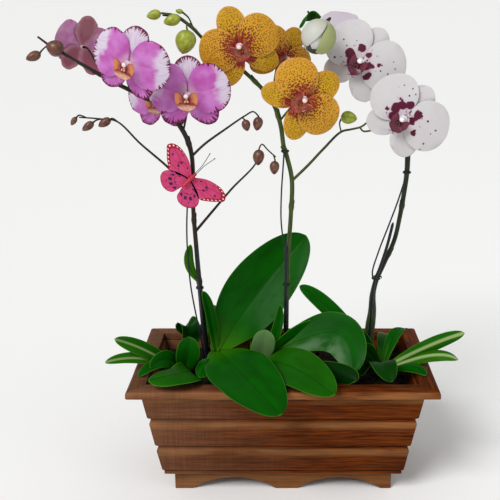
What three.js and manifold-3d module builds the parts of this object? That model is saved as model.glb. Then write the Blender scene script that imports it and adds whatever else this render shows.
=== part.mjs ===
// Three moth orchids, one pink, one golden and one white, growing in a tapered wooden planter.
// Millimetres, Z up, the planter's long side along X and its front towards -Y.
// Places are written from the middle of the planter's footprint, and the last lines move the whole
// model so that its origin is the bottom centre of its own bounding box.
import * as THREE from "three";
import { mergeVertices } from "three/addons/utils/BufferGeometryUtils.js";
import Module from "manifold-3d";

const wasm = await Module();
wasm.setup();

// Driving dimensions of the planter
const RIM_HALF_WIDTH = 190;
const RIM_HALF_DEPTH = 110;
const RIM_TOP = 159;
const RIM_THICKNESS = 11;
const RIM_BOARD_WIDTH = 22;
const WALL_BOTTOM = 32;
const WALL_SEAMS = [WALL_BOTTOM, 70, 111, RIM_TOP - RIM_THICKNESS];
const WALL_TAPER = 0.178;
const WALL_THICKNESS = 9;
const WALL_HALF_WIDTH_AT_BASE = 153;
const WALL_HALF_DEPTH_AT_BASE = 73;
const PANEL_BOTTOM = 27;
const PANEL_INSET = 2;
const SKIRT_HALF_WIDTH = 140;
const SKIRT_HALF_DEPTH = 61;
const SKIRT_THICKNESS = 9;
const ARCH_HALF_WIDTH = 54;
const SIDE_FOOT_WIDTH = 16;
const ARCH_HEIGHT = 16;
const ARCH_CENTRES = [-63, 73];
const SEAT_GAP = 0.3;

// Driving dimensions of the planting
const MEDIUM_TOP = 139;
const STEM_FOOT = 112;
const STAKE_FOOT = 106;
const STAKE_RADIUS = 1.9;
const WIRE_RADIUS = 1;
const PETAL_THICKNESS = 0.8;
const LEAF_THICKNESS = 1.6;
const HUB_BACK = 3.4;
const HUB_FRONT = 2.6;
const LIP_GAP = 0.36;
const BUD_STALK_RADIUS = 0.9;

const COLOURS = {
  wood: 0x7a4a22,
  bark: 0x3a2618,
  pink: 0xc05cb4,
  gold: 0xd39a1c,
  white: 0xe6e4e2,
  lip_orange: 0xc46a34,
  lip_red: 0x8c1420,
  lip_purple: 0x6a0c38,
  stem: 0x2a3a1c,
  leaf: 0x0f5c10,
  pale_bud: 0xc8cca0,
  stake: 0x141a22,
  wing: 0xe0408c,
  body: 0xc02840,
};

const v = (x, y, z) => new THREE.Vector3(x, y, z);

function spin(axis, degrees) {
  return new THREE.Quaternion().setFromAxisAngle(axis, THREE.MathUtils.degToRad(degrees));
}

function geometryFrom(positions, triangles) {
  const geometry = new THREE.BufferGeometry();
  geometry.setAttribute("position", new THREE.Float32BufferAttribute(positions, 3));
  geometry.setIndex(triangles);
  return geometry;
}

// A manifold-3d solid from a closed geometry
function solidOf(geometry) {
  const bare = geometry.clone();
  bare.deleteAttribute("normal");
  bare.deleteAttribute("uv");
  const merged = mergeVertices(bare, 1e-4);
  return new wasm.Manifold(
    new wasm.Mesh({
      numProp: 3,
      vertProperties: new Float32Array(merged.attributes.position.array),
      triVerts: new Uint32Array(merged.index.array),
    }),
  );
}

function geometryOf(solid) {
  const mesh = solid.getMesh();
  return geometryFrom(Array.from(mesh.vertProperties), Array.from(mesh.triVerts));
}

function unite(geometries) {
  return geometryOf(geometries.map(solidOf).reduce((joined, next) => joined.add(next)));
}

function cut(geometry, cutters) {
  const whole = solidOf(geometry);
  return geometryOf(cutters.map(solidOf).reduce((left, cutter) => left.subtract(cutter), whole));
}

// A ring of points round a centre, anticlockwise about the cross product of its two directions
function ringAbout(centre, across, up, count) {
  return Array.from({ length: count }, (_, j) => {
    const angle = (2 * Math.PI * j) / count;
    return centre.clone().addScaledVector(across, Math.cos(angle)).addScaledVector(up, Math.sin(angle));
  });
}

// A closed solid through rings of points: each ring has the same count and turns the same way,
// anticlockwise seen from the end that the loft runs towards.
function loft(rings) {
  const count = rings[0].length;
  const positions = rings.flat().flatMap((p) => [p.x, p.y, p.z]);
  const triangles = [];
  for (let i = 0; i + 1 < rings.length; i++) {
    for (let j = 0; j < count; j++) {
      const a = i * count + j;
      const b = i * count + ((j + 1) % count);
      triangles.push(a, b, b + count, a, b + count, a + count);
    }
  }
  const last = (rings.length - 1) * count;
  for (let j = 1; j + 1 < count; j++) {
    triangles.push(0, j + 1, j, last, last + j, last + j + 1);
  }
  return geometryFrom(positions, triangles);
}

// The value at u, from 0 to 1, of evenly spaced values
function along(values, u) {
  const place = u * (values.length - 1);
  const step = Math.min(Math.floor(place), values.length - 2);
  return THREE.MathUtils.lerp(values[step], values[step + 1], place - step);
}

const smoothCurve = (points) => new THREE.CatmullRomCurve3(points, false, "centripetal");

// A tube that follows a smooth curve through the points, its radius running through the given radii
function tube(points, radii, steps, sides) {
  const curve = smoothCurve(points);
  const across = v(0, 1, 0);
  const rings = [];
  for (let i = 0; i <= steps; i++) {
    const u = i / steps;
    const forward = curve.getTangentAt(u);
    if (i === 0 && Math.abs(forward.y) > 0.9) across.set(1, 0, 0);
    across.addScaledVector(forward, -across.dot(forward)).normalize();
    const radius = along(radii, u);
    const up = forward.clone().cross(across).multiplyScalar(radius);
    rings.push(ringAbout(curve.getPointAt(u), across.clone().multiplyScalar(radius), up, sides));
  }
  return loft(rings);
}

// A solid through straight lengths between points, with a radius at each point
function sleeve(points, radii, sides = 6) {
  const across = v(0, 0, 1);
  const rings = points.map((point, i) => {
    const next = points[Math.min(i + 1, points.length - 1)];
    const forward = next.clone().sub(points[Math.max(i - 1, 0)]).normalize();
    if (i === 0 && Math.abs(forward.z) > 0.9) across.set(1, 0, 0);
    across.addScaledVector(forward, -across.dot(forward)).normalize();
    const up = forward.clone().cross(across).multiplyScalar(radii[i]);
    return ringAbout(point, across.clone().multiplyScalar(radii[i]), up, sides);
  });
  return loft(rings);
}

// An egg-shaped body from its root to its point, on a stalk of its own if it has one
const EGG_SHAPE = [[0, 0.34], [0.3, 1], [0.68, 0.94], [1, 0.16]];

function egg(root, point, halfWidth, stalk = [], sides = 5) {
  const points = [...stalk, ...EGG_SHAPE.map(([u]) => root.clone().lerp(point, u))];
  const radii = [...stalk.map(() => BUD_STALK_RADIUS), ...EGG_SHAPE.map(([, share]) => share * halfWidth)];
  return sleeve(points, radii, sides);
}

// A thin closed blade over a surface given as a function of s, along it, and t, across it
function blade(surface, rows, columns, thickness) {
  const step = 1e-3;
  const positions = [];
  const triangles = [];
  const width = columns.length;
  const size = rows.length * width;
  for (const face of [1, -1]) {
    for (const s of rows) {
      for (const t of columns) {
        const lengthwise = surface(s + step, t).sub(surface(s - step, t));
        const crosswise = surface(s, t + step).sub(surface(s, t - step));
        const normal = lengthwise.cross(crosswise).normalize();
        const p = surface(s, t).addScaledVector(normal, (face * thickness) / 2);
        positions.push(p.x, p.y, p.z);
      }
    }
  }
  const quad = (a, b, c, d) => triangles.push(a, b, c, a, c, d);
  for (let i = 0; i + 1 < rows.length; i++) {
    for (let j = 0; j + 1 < width; j++) {
      const a = i * width + j;
      quad(a, a + width, a + width + 1, a + 1);
      triangles.push(size + a, size + a + width + 1, size + a + width);
      triangles.push(size + a, size + a + 1, size + a + width + 1);
    }
    const left = i * width;
    const right = left + width - 1;
    quad(left, size + left, size + left + width, left + width);
    quad(right, right + width, size + right + width, size + right);
  }
  const end = (rows.length - 1) * width;
  for (let j = 0; j + 1 < width; j++) {
    quad(j, j + 1, size + j + 1, size + j);
    quad(end + j, size + end + j, size + end + j + 1, end + j + 1);
  }
  return geometryFrom(positions, triangles);
}

// Share of its full width that a blade has at s: a neck, a swell to its peak and a rounded end. The
// swell is even where fullness is 1, and comes sooner where it is less.
function outline(s, peak, neck, fullness = 1) {
  if (s < peak) {
    return neck + (1 - neck) * Math.sin((Math.PI / 2) * (Math.max(s, 0) / peak) ** fullness);
  }
  const past = Math.min((s - peak) / (1 - peak), 1);
  return Math.sqrt(Math.max(1 - past ** 2.2, 0.0004));
}

const assembly = new THREE.Group();

function addPart(name, geometry, colour, parent = assembly) {
  const material = new THREE.MeshStandardMaterial({ color: COLOURS[colour], roughness: 0.6, metalness: 0 });
  const mesh = new THREE.Mesh(geometry, material);
  mesh.name = name;
  parent.add(mesh);
  return mesh;
}

// Planter: outer half width and half depth of the tapered walls at a height
const wallHalfWidth = (z) => WALL_HALF_WIDTH_AT_BASE + WALL_TAPER * (z - PANEL_BOTTOM);
const wallHalfDepth = (z) => WALL_HALF_DEPTH_AT_BASE + WALL_TAPER * (z - PANEL_BOTTOM);

// Four mitred lengths round a rectangle. Each profile point is [inset from the outside, height].
function mitredFrame(prefix, profile, halfWidth, halfDepth) {
  const clear = SEAT_GAP * Math.SQRT1_2;
  for (const side of ["front", "back", "left", "right"]) {
    const start = profile.map(([inset, z]) => {
      const x = halfWidth(z) - inset;
      const y = halfDepth(z) - inset;
      if (side === "front") return v(clear - x, -y, z);
      if (side === "back") return v(x - clear, y, z);
      if (side === "left") return v(-x, y - clear, z);
      return v(x, clear - y, z);
    });
    const lengthwise = side === "front" || side === "back";
    const end = start.map((p) => (lengthwise ? v(-p.x, p.y, p.z) : v(p.x, -p.y, p.z)));
    addPart(`${prefix}_${side}`, loft([start, end]), "wood");
  }
}

function addPlanter() {
  const rimBottom = RIM_TOP - RIM_THICKNESS + SEAT_GAP;
  mitredFrame("rim", [
    [0, rimBottom], [RIM_BOARD_WIDTH, rimBottom], [RIM_BOARD_WIDTH, RIM_TOP],
    [4, RIM_TOP], [1.2, RIM_TOP - 1.3], [0, RIM_TOP - 4],
  ], () => RIM_HALF_WIDTH, () => RIM_HALF_DEPTH);
  const courses = ["bottom", "middle", "top"];
  courses.forEach((course, i) => {
    const low = WALL_SEAMS[i] + (i > 0 ? SEAT_GAP : 0);
    const high = WALL_SEAMS[i + 1];
    mitredFrame(`board_${course}`, [
      [2, low], [WALL_THICKNESS, low], [WALL_THICKNESS, high], [4, high], [0, high - 7], [0, low + 2],
    ], wallHalfWidth, wallHalfDepth);
  });
  const thickness = WALL_BOTTOM - SEAT_GAP - PANEL_BOTTOM;
  const panel = new THREE.BoxGeometry(
    2 * (wallHalfWidth(WALL_BOTTOM) - PANEL_INSET),
    2 * (wallHalfDepth(WALL_BOTTOM) - PANEL_INSET),
    thickness,
  );
  addPart("floor_panel", panel, "wood").position.z = PANEL_BOTTOM + thickness / 2;
  addSkirts();
}

// A straight board in the XZ plane with arches cut out of its lower edge
function archedBoard(halfLength, centres, archHalfWidth) {
  const top = PANEL_BOTTOM - SEAT_GAP;
  const radius = (archHalfWidth ** 2 + ARCH_HEIGHT ** 2) / (2 * ARCH_HEIGHT);
  const spread = Math.asin(archHalfWidth / radius);
  const shape = new THREE.Shape();
  shape.moveTo(-halfLength, 0);
  for (const centre of centres) {
    shape.lineTo(centre - archHalfWidth, 0);
    shape.absarc(centre, ARCH_HEIGHT - radius, radius, Math.PI / 2 + spread, Math.PI / 2 - spread, true);
  }
  shape.lineTo(halfLength, 0);
  shape.lineTo(halfLength, top);
  shape.lineTo(-halfLength, top);
  const settings = { depth: SKIRT_THICKNESS, bevelEnabled: false, curveSegments: 8 };
  return new THREE.ExtrudeGeometry(shape, settings).rotateX(Math.PI / 2);
}

function addSkirts() {
  const longBoard = () => archedBoard(SKIRT_HALF_WIDTH, ARCH_CENTRES, ARCH_HALF_WIDTH);
  addPart("skirt_front", longBoard(), "wood").position.y = SKIRT_THICKNESS - SKIRT_HALF_DEPTH;
  addPart("skirt_back", longBoard(), "wood").position.y = SKIRT_HALF_DEPTH;
  const halfLength = SKIRT_HALF_DEPTH - SKIRT_THICKNESS - SEAT_GAP;
  const sideBoard = () => archedBoard(halfLength, [0], halfLength - SIDE_FOOT_WIDTH).rotateZ(Math.PI / 2);
  addPart("skirt_left", sideBoard(), "wood").position.x = -SKIRT_HALF_WIDTH;
  addPart("skirt_right", sideBoard(), "wood").position.x = SKIRT_HALF_WIDTH - SKIRT_THICKNESS;
}

// Blooms. Each one's own frame has X to its right, Y towards its top sepal and Z the way it faces.
// Angles of the side sepals are from the top sepal, and those of the petals are above the level.
const BLOOM_FORMS = {
  pink: {
    top: { length: 45, halfWidth: 18.5 },
    side: { length: 45, halfWidth: 16, angle: 136 },
    petal: { length: 51, upper: 31, lower: 28, angle: 14 },
    lipSpread: 1.35,
  },
  gold: {
    top: { length: 48, halfWidth: 17.5 },
    side: { length: 50, halfWidth: 15.5, angle: 137 },
    petal: { length: 49, upper: 27, lower: 24, angle: 11 },
    lipSpread: 1,
  },
  white: {
    top: { length: 46, halfWidth: 17 },
    side: { length: 46, halfWidth: 17, angle: 139 },
    petal: { length: 53, upper: 32, lower: 28, angle: 20 },
    lipSpread: 1,
  },
};

// Turn is about the vertical, tilt is down, and roll is about the way the bloom faces.
const BLOOMS = {
  pink_1: {
    form: "pink", centre: v(-177, -54, 541), turn: -18, tilt: 3, roll: -18, size: 0.97, petalAngle: 10,
  },
  pink_2: { form: "pink", centre: v(-112, -34, 504), turn: -6, tilt: 4, roll: 0, size: 1 },
  pink_3: { form: "pink", centre: v(-156, 28, 492), turn: -24, tilt: 4, roll: 0, size: 0.94 },
  pink_4: {
    form: "pink", centre: v(-251, 42, 556), turn: 228, tilt: -4, roll: 14, size: 0.86, petalAngle: 6,
  },
  gold_1: { form: "gold", centre: v(-51, -20, 559), turn: 0, tilt: 2, roll: 21, size: 1, petalAngle: 7 },
  gold_2: { form: "gold", centre: v(24, -46, 500), turn: 4, tilt: 2, roll: -58, size: 1 },
  gold_3: { form: "gold", centre: v(1, 24, 543), turn: 30, tilt: 0, roll: -37, size: 0.9 },
  white_1: { form: "white", centre: v(140, -57, 479), turn: -18, tilt: 0, roll: -40, size: 1 },
  white_2: { form: "white", centre: v(92, -19, 541), turn: -12, tilt: -8, roll: -33, size: 1.01 },
  white_3: { form: "white", centre: v(81, 26, 572), turn: 20, tilt: -46, roll: -58, size: 0.84 },
};

const PETAL_ROWS = [0, 0.1, 0.28, 0.54, 0.8, 0.96];
const PETAL_FULLNESS = 0.6;
const SEPAL_ROWS = [0, 0.36, 0.76, 0.97];
const TEPAL_COLUMNS = [-1, 0, 1];

// A tepal lies along its own angle from the bloom's middle, rises a little and then bends back
function tepal({ angle, length, upper, lower, neck, fullness, lift, rise, reflex, cup }, rows) {
  const turn = THREE.MathUtils.degToRad(angle);
  const root = 1.6;
  const surface = (s, t) => {
    const share = outline(s, 0.5, neck, fullness);
    const crosswise = t * share * (t > 0 ? upper : lower);
    const lengthwise = root + (length - root) * s;
    return v(
      lengthwise * Math.cos(turn) - crosswise * Math.sin(turn),
      lengthwise * Math.sin(turn) + crosswise * Math.cos(turn),
      lift + rise * s - reflex * s * s - cup * share * t * t,
    );
  };
  return blade(surface, rows, TEPAL_COLUMNS, PETAL_THICKNESS);
}

function tepalsOf({ top, side, petal }) {
  const sepal = ({ length, halfWidth }, angle) => tepal({
    angle, length, upper: halfWidth, lower: halfWidth, neck: 0.16, fullness: 1,
    lift: -1.4, rise: 0, reflex: 5.5, cup: 1.5,
  }, SEPAL_ROWS);
  const petalAt = (angle, upper, lower) => tepal({
    angle, length: petal.length, upper, lower, neck: 0.08, fullness: PETAL_FULLNESS,
    lift: 0.8, rise: 4, reflex: 11, cup: 2,
  }, PETAL_ROWS);
  const hub = [[-HUB_BACK, 2.4], [HUB_FRONT, 4.6]].map(([z, radius]) => (
    ringAbout(v(0, 0, z), v(radius, 0, 0), v(0, radius, 0), 6)
  ));
  return unite([
    loft(hub),
    sepal(top, 90),
    sepal(side, 90 + side.angle),
    sepal(side, 90 - side.angle),
    petalAt(petal.angle, petal.upper, petal.lower),
    petalAt(180 - petal.angle, petal.lower, petal.upper),
  ]);
}

// The lip and the column over it: a forward column, two side lobes like upright ears and a middle lobe
function lipAndColumn(spread) {
  const ring = (y, z, halfWidth, halfHeight) => (
    ringAbout(v(0, y, z), v(halfWidth, 0, 0), v(0, halfHeight, 0), 6)
  );
  const front = HUB_FRONT + LIP_GAP;
  const column = loft([ring(0, front, 3.6, 3.4), ring(0.5, 12.4, 2.3, 2.1)]);
  const foot = loft([ring(-0.6, 4.4, 2.2, 2), ring(-6.4, 8.4, 3, 1.8)]);
  const middleLobe = blade((s, t) => {
    const halfWidth = 2.4 + 6.6 * spread * Math.sin(Math.PI * Math.min(s * 1.25, 1)) * (1 - 0.3 * s);
    return v(t * halfWidth, -6.4 - 11.8 * s, 7.2 + 7 * s - 8 * s * s + 1.4 * t * t);
  }, [0, 0.45, 1], [-1, 0, 1], 1);
  const sideLobe = (side) => blade((s, t) => {
    const out = t * (2 + 4.4 * spread * Math.sin(Math.PI * (0.08 + 0.72 * s)));
    return v(
      side * (2.6 + 8.4 * spread * s + 0.3 * out),
      -6.4 + 6.4 * s * s + 0.8 * out,
      8 + 3.4 * s + 0.5 * out,
    );
  }, [0, 0.5, 1], [-1, 1], 1);
  return unite([column, foot, middleLobe, sideLobe(1), sideLobe(-1)]);
}

function bloomRotation({ turn, tilt, roll }) {
  return spin(v(0, 0, 1), turn).multiply(spin(v(1, 0, 0), 90 + tilt)).multiply(spin(v(0, 0, 1), roll));
}

// The point behind a bloom where its stalk ends, and the way the bloom faces
function bloomSeat(bloom) {
  const facing = v(0, 0, 1).applyQuaternion(bloomRotation(bloom));
  const seat = bloom.centre.clone().addScaledVector(facing, -(HUB_BACK * bloom.size + SEAT_GAP));
  return { seat, facing };
}

function addBlooms() {
  const lipColour = { pink: "lip_orange", gold: "lip_red", white: "lip_purple" };
  for (const [name, bloom] of Object.entries(BLOOMS)) {
    const group = new THREE.Group();
    group.position.copy(bloom.centre);
    group.quaternion.copy(bloomRotation(bloom));
    group.scale.setScalar(bloom.size);
    const form = BLOOM_FORMS[bloom.form];
    const petal = { ...form.petal, angle: bloom.petalAngle ?? form.petal.angle };
    addPart(`bloom_${name}_tepals`, tepalsOf({ ...form, petal }), bloom.form, group);
    addPart(`bloom_${name}_lip`, lipAndColumn(form.lipSpread), lipColour[bloom.form], group);
    assembly.add(group);
  }
}

// The white plant's newest bloom, just opening: three outer tepals over two inner ones, still a globe
const HEART_BACK = 0.8;
const OPENING_BLOOM = { root: v(51, -33, 586), facing: v(-0.5, -0.42, -0.76), radius: 20 };

function addOpeningBloom() {
  const { root, radius } = OPENING_BLOOM;
  const axis = OPENING_BLOOM.facing.clone().normalize();
  const across = v(0, 0, 1).cross(axis).normalize();
  const up = axis.clone().cross(across);
  const globeBlade = (azimuth, spread, reach) => blade((s, t) => {
    const polar = 0.24 + 2.56 * s;
    const angle = THREE.MathUtils.degToRad(azimuth + t * spread * outline(s, 0.5, 0.75));
    const out = across.clone().multiplyScalar(Math.cos(angle)).addScaledVector(up, Math.sin(angle));
    return root.clone()
      .addScaledVector(axis, radius * (1 - Math.cos(polar)))
      .addScaledVector(out, reach * Math.sin(polar));
  }, [0, 0.32, 0.64, 0.97], [-1, 0, 1], 1);
  const heartEnds = [-HEART_BACK, 2].map((reach) => root.clone().addScaledVector(axis, reach));
  const heart = sleeve(heartEnds, [4.6, 7]);
  const outer = [90, 210, 330].map((azimuth) => globeBlade(azimuth, 58, radius));
  const inner = [30, 150].map((azimuth) => globeBlade(azimuth, 52, radius - 2.6));
  addPart("bloom_white_opening", unite([heart, ...outer, ...inner]), "pale_bud");
}

// Spikes: a main stem, side stems, stalks to the blooms, closed buds and small leaves, grown as one.
// A stalk may bend through points of its own on its way to the back of its bloom.
const SPIKES = {
  pink: {
    stem: [
      v(-100, 8, STEM_FOOT), v(-100, 8, 148), v(-105, 8, 207), v(-108, 6, 255),
      v(-111, 4, 309), v(-113, 0, 360),
      v(-112, -2, 390), v(-113, -6, 431), v(-120, -8, 454), v(-134, -8, 475), v(-155, -8, 492),
      v(-184, -8, 507), v(-208, -8, 519), v(-249, -8, 543), v(-275, -8, 558), v(-291, -9, 570),
    ],
    radii: [4, 3.6, 3, 2.6, 3.2, 2.3, 1.2],
    sideStems: [
      {
        points: [
          v(-113, -1, 374), v(-129, 0, 396), v(-144, 2, 412), v(-177, 4, 441), v(-205, 6, 468),
          v(-225, 6, 471), v(-251, 6, 473),
        ],
        radii: [1.7, 1.3, 0.9],
      },
      {
        points: [
          v(-112, -6, 427), v(-96, -8, 442), v(-71, -10, 460),
          v(-46, -12, 477), v(-36, -12, 482), v(-29, -12, 476),
        ],
        radii: [1.7, 1.3, 0.9],
      },
      {
        points: [
          v(-112, 2, 328), v(-92, 0, 352), v(-64, -2, 385), v(-33, -6, 419), v(-30, -4, 434),
          v(-26, -2, 441), v(-19, -2, 434), v(-9, -2, 425),
        ],
        radii: [1.9, 1.5, 1.1, 0.8],
      },
    ],
    stalks: [
      { from: v(-184, -8, 507), via: [v(-184, -28, 524)], to: "pink_1" },
      { from: v(-122, -8, 457), via: [v(-116, -14, 480)], to: "pink_2" },
      { from: v(-112, -5, 422), via: [v(-116, 22, 436), v(-134, 44, 464), v(-146, 50, 488)], to: "pink_3" },
      { from: v(-216, -8, 524), via: [v(-226, 2, 540)], to: "pink_4" },
    ],
    buds: [
      {
        stalk: [v(-244, -8, 540), v(-254, -6, 544)],
        root: v(-262, -6, 553), point: v(-281, -12, 561), halfWidth: 10,
      },
      {
        stalk: [v(-279, -8, 561), v(-286, -10, 555)],
        root: v(-288, -11, 551), point: v(-305, -16, 544), halfWidth: 6,
      },
      {
        stalk: [v(-243, 6, 473), v(-250, 2, 476)],
        root: v(-253, 0, 474), point: v(-260, -1, 464), halfWidth: 3.6,
      },
      {
        stalk: [v(-222, 6, 471), v(-229, 0, 470)],
        root: v(-232, -1, 468), point: v(-246, -4, 458), halfWidth: 5,
      },
      {
        stalk: [v(-203, 6, 467), v(-209, 2, 472)],
        root: v(-211, 0, 472), point: v(-226, -4, 463), halfWidth: 5.4,
      },
      {
        stalk: [v(-50, -12, 475), v(-47, -14, 473)],
        root: v(-46, -15, 473), point: v(-43, -17, 459), halfWidth: 5.4,
      },
      {
        stalk: [v(-31, -12, 478), v(-29, -12, 474)],
        root: v(-29, -12, 476), point: v(-32, -14, 459), halfWidth: 6.2,
      },
      {
        stalk: [v(-33, -6, 419), v(-32, -10, 426)],
        root: v(-29, -11, 436), point: v(-31, -12, 416), halfWidth: 7.2,
      },
      {
        stalk: [v(-12, -2, 428), v(-10, -4, 422)],
        root: v(-10, -5, 421), point: v(-11, -8, 404), halfWidth: 6.2,
      },
    ],
    leaves: [
      {
        base: v(-109, 6, 261), mid: v(-121, 6, 285), tip: v(-118, 3, 311),
        side: v(0.9, 0.35, 0.2), halfWidth: 6.5,
      },
    ],
  },
  gold: {
    stem: [
      v(3, 12, STEM_FOOT), v(3, 12, 150), v(4, 11, 200), v(5, 8, 257), v(7, 5, 305), v(10, 2, 352),
      v(11, -2, 397), v(5, -4, 425), v(1, -6, 438), v(-3, -6, 465), v(-11, -4, 489), v(-25, -2, 508),
      v(-45, 0, 527), v(-70, 2, 548), v(-94, 2, 566), v(-110, 0, 582), v(-127, -2, 594), v(-144, -4, 597),
    ],
    radii: [4, 3.5, 2.8, 2.9, 2.8, 2.2, 1.3],
    sideStems: [
      {
        points: [
          v(11, -2, 395), v(31, -4, 415), v(50, -6, 436), v(71, -8, 457), v(83, -8, 460),
          v(95, -8, 463), v(102, -8, 468),
        ],
        radii: [1.9, 1.6, 1.2],
      },
      { points: [v(93, -8, 463), v(98, -9, 458), v(111, -10, 459), v(120, -10, 456)], radii: [1.1, 1.4] },
    ],
    stalks: [
      { from: v(-52, 1, 533), via: [v(-50, -4, 552)], to: "gold_1" },
      { from: v(-4, -6, 470), via: [v(10, -16, 488)], to: "gold_2" },
      { from: v(-9, -5, 483), via: [v(-8, 22, 482), v(-12, 46, 504)], to: "gold_3" },
    ],
    buds: [
      {
        stalk: [v(-110, 0, 582), v(-114, -6, 583)],
        root: v(-112, -9, 578), point: v(-119, -14, 550), halfWidth: 12.5,
      },
      {
        stalk: [v(-122, -1, 591), v(-124, -5, 594)],
        root: v(-121, -7, 592), point: v(-141, -10, 586), halfWidth: 7,
      },
      {
        stalk: [v(-140, -4, 597), v(-144, -5, 597)],
        root: v(-144, -6, 597), point: v(-161, -8, 593), halfWidth: 6,
      },
      {
        stalk: [v(-107, 0, 580), v(-113, 3, 592)],
        root: v(-119, 3, 598), point: v(-128, 3, 600), halfWidth: 3,
      },
      {
        stalk: [v(71, -8, 457), v(69, -8, 468)],
        root: v(70, -9, 476), point: v(90, -12, 473), halfWidth: 8,
      },
    ],
    leaves: [],
  },
  white: {
    stem: [
      v(114, 12, STEM_FOOT), v(114, 12, 181), v(115, 12, 196), v(117, 10, 219),
      v(117, 8, 243), v(121, 6, 264),
      v(130, 5, 286), v(142, 4, 317), v(148, 2, 350), v(152, 0, 382), v(154, -2, 406), v(154, -4, 425),
      v(154, -4, 438), v(149, -6, 457), v(139, -6, 477), v(124, -4, 495), v(107, 0, 507), v(91, 5, 523),
      v(80, 11, 535), v(70, 14, 546), v(61, 10, 557), v(55, 6, 567), v(45, 0, 583), v(29, -6, 599),
    ],
    radii: [6.8, 6.8, 6.4, 3.6, 2.9, 2.8, 3, 3.4, 3, 2.4, 1.9, 1.6, 1.2],
    sideStems: [],
    stalks: [
      { from: v(146, -6, 464), via: [v(144, -22, 472)], to: "white_1" },
      { from: v(104, 0, 510), via: [v(98, -4, 530)], to: "white_2" },
      { from: v(80, 11, 535), via: [v(80, 34, 544)], to: "white_3" },
    ],
    buds: [],
    leaves: [
      {
        base: v(44, 1, 591), mid: v(30, -4, 594), tip: v(20, -8, 580),
        side: v(0.5, -0.4, 0.7), halfWidth: 8,
      },
    ],
  },
};

// A leaf is a fleshy strap, folded along a midrib that runs through three points.
const BROAD_ROWS = [0, 0.18, 0.42, 0.66, 0.86, 0.97];
const BROAD_COLUMNS = [-1, -0.5, 0, 0.5, 1];
const NARROW_ROWS = [0, 0.3, 0.7, 0.97];
const NARROW_COLUMNS = [-1, 0, 1];
const BROAD_FROM = 25;

function leaf({ base, mid, tip, side, halfWidth, fold = 0.22, roll = 0, peak = 0.55, neck = 0.34 }) {
  const bend = mid.clone().multiplyScalar(2).addScaledVector(base, -0.5).addScaledVector(tip, -0.5);
  const midrib = new THREE.QuadraticBezierCurve3(base, bend, tip);
  const surface = (s, t) => {
    const at = THREE.MathUtils.clamp(s, 0, 1);
    const forward = midrib.getTangent(at);
    const across = side.clone().addScaledVector(forward, -side.dot(forward)).normalize();
    across.applyAxisAngle(forward, THREE.MathUtils.degToRad(roll * at));
    const face = across.clone().cross(forward);
    const out = t * halfWidth * outline(at, peak, neck);
    const wave = 0.05 * halfWidth * Math.abs(t) * Math.sin(7 * s + 2 * t);
    return midrib.getPoint(at)
      .addScaledVector(forward, s - at)
      .addScaledVector(across, out)
      .addScaledVector(face, fold * Math.abs(out) + wave);
  };
  const broad = halfWidth >= BROAD_FROM;
  return blade(
    surface,
    broad ? BROAD_ROWS : NARROW_ROWS,
    broad ? BROAD_COLUMNS : NARROW_COLUMNS,
    LEAF_THICKNESS,
  );
}

function addSpikes() {
  for (const [name, { stem, radii, sideStems, stalks, buds, leaves }] of Object.entries(SPIKES)) {
    const solids = [tube(stem, radii, Math.round(1.1 * stem.length), 6)];
    for (const side of sideStems) {
      solids.push(tube(side.points, side.radii, Math.round(1.3 * side.points.length), 4));
    }
    for (const { from, via, to } of stalks) {
      const { seat, facing } = bloomSeat(BLOOMS[to]);
      const approach = seat.clone().addScaledVector(facing, -7);
      solids.push(tube([from, ...via, approach, seat], [1.4, 1.2, 1.4], 2 + 2 * via.length, 4));
    }
    for (const { stalk, root, point, halfWidth } of buds) solids.push(egg(root, point, halfWidth, stalk));
    solids.push(...leaves.map(leaf));
    if (name === "white") solids.push(openingBloomStalk(stem));
    addPart(`spike_${name}`, unite(solids), "stem");
  }
}

function openingBloomStalk(stem) {
  const axis = OPENING_BLOOM.facing.clone().normalize();
  const seat = OPENING_BLOOM.root.clone().addScaledVector(axis, -HEART_BACK - SEAT_GAP);
  const approach = seat.clone().addScaledVector(axis, -6);
  return tube([stem[stem.length - 2], approach, seat], [1.4, 1.3], 4, 4);
}

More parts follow.
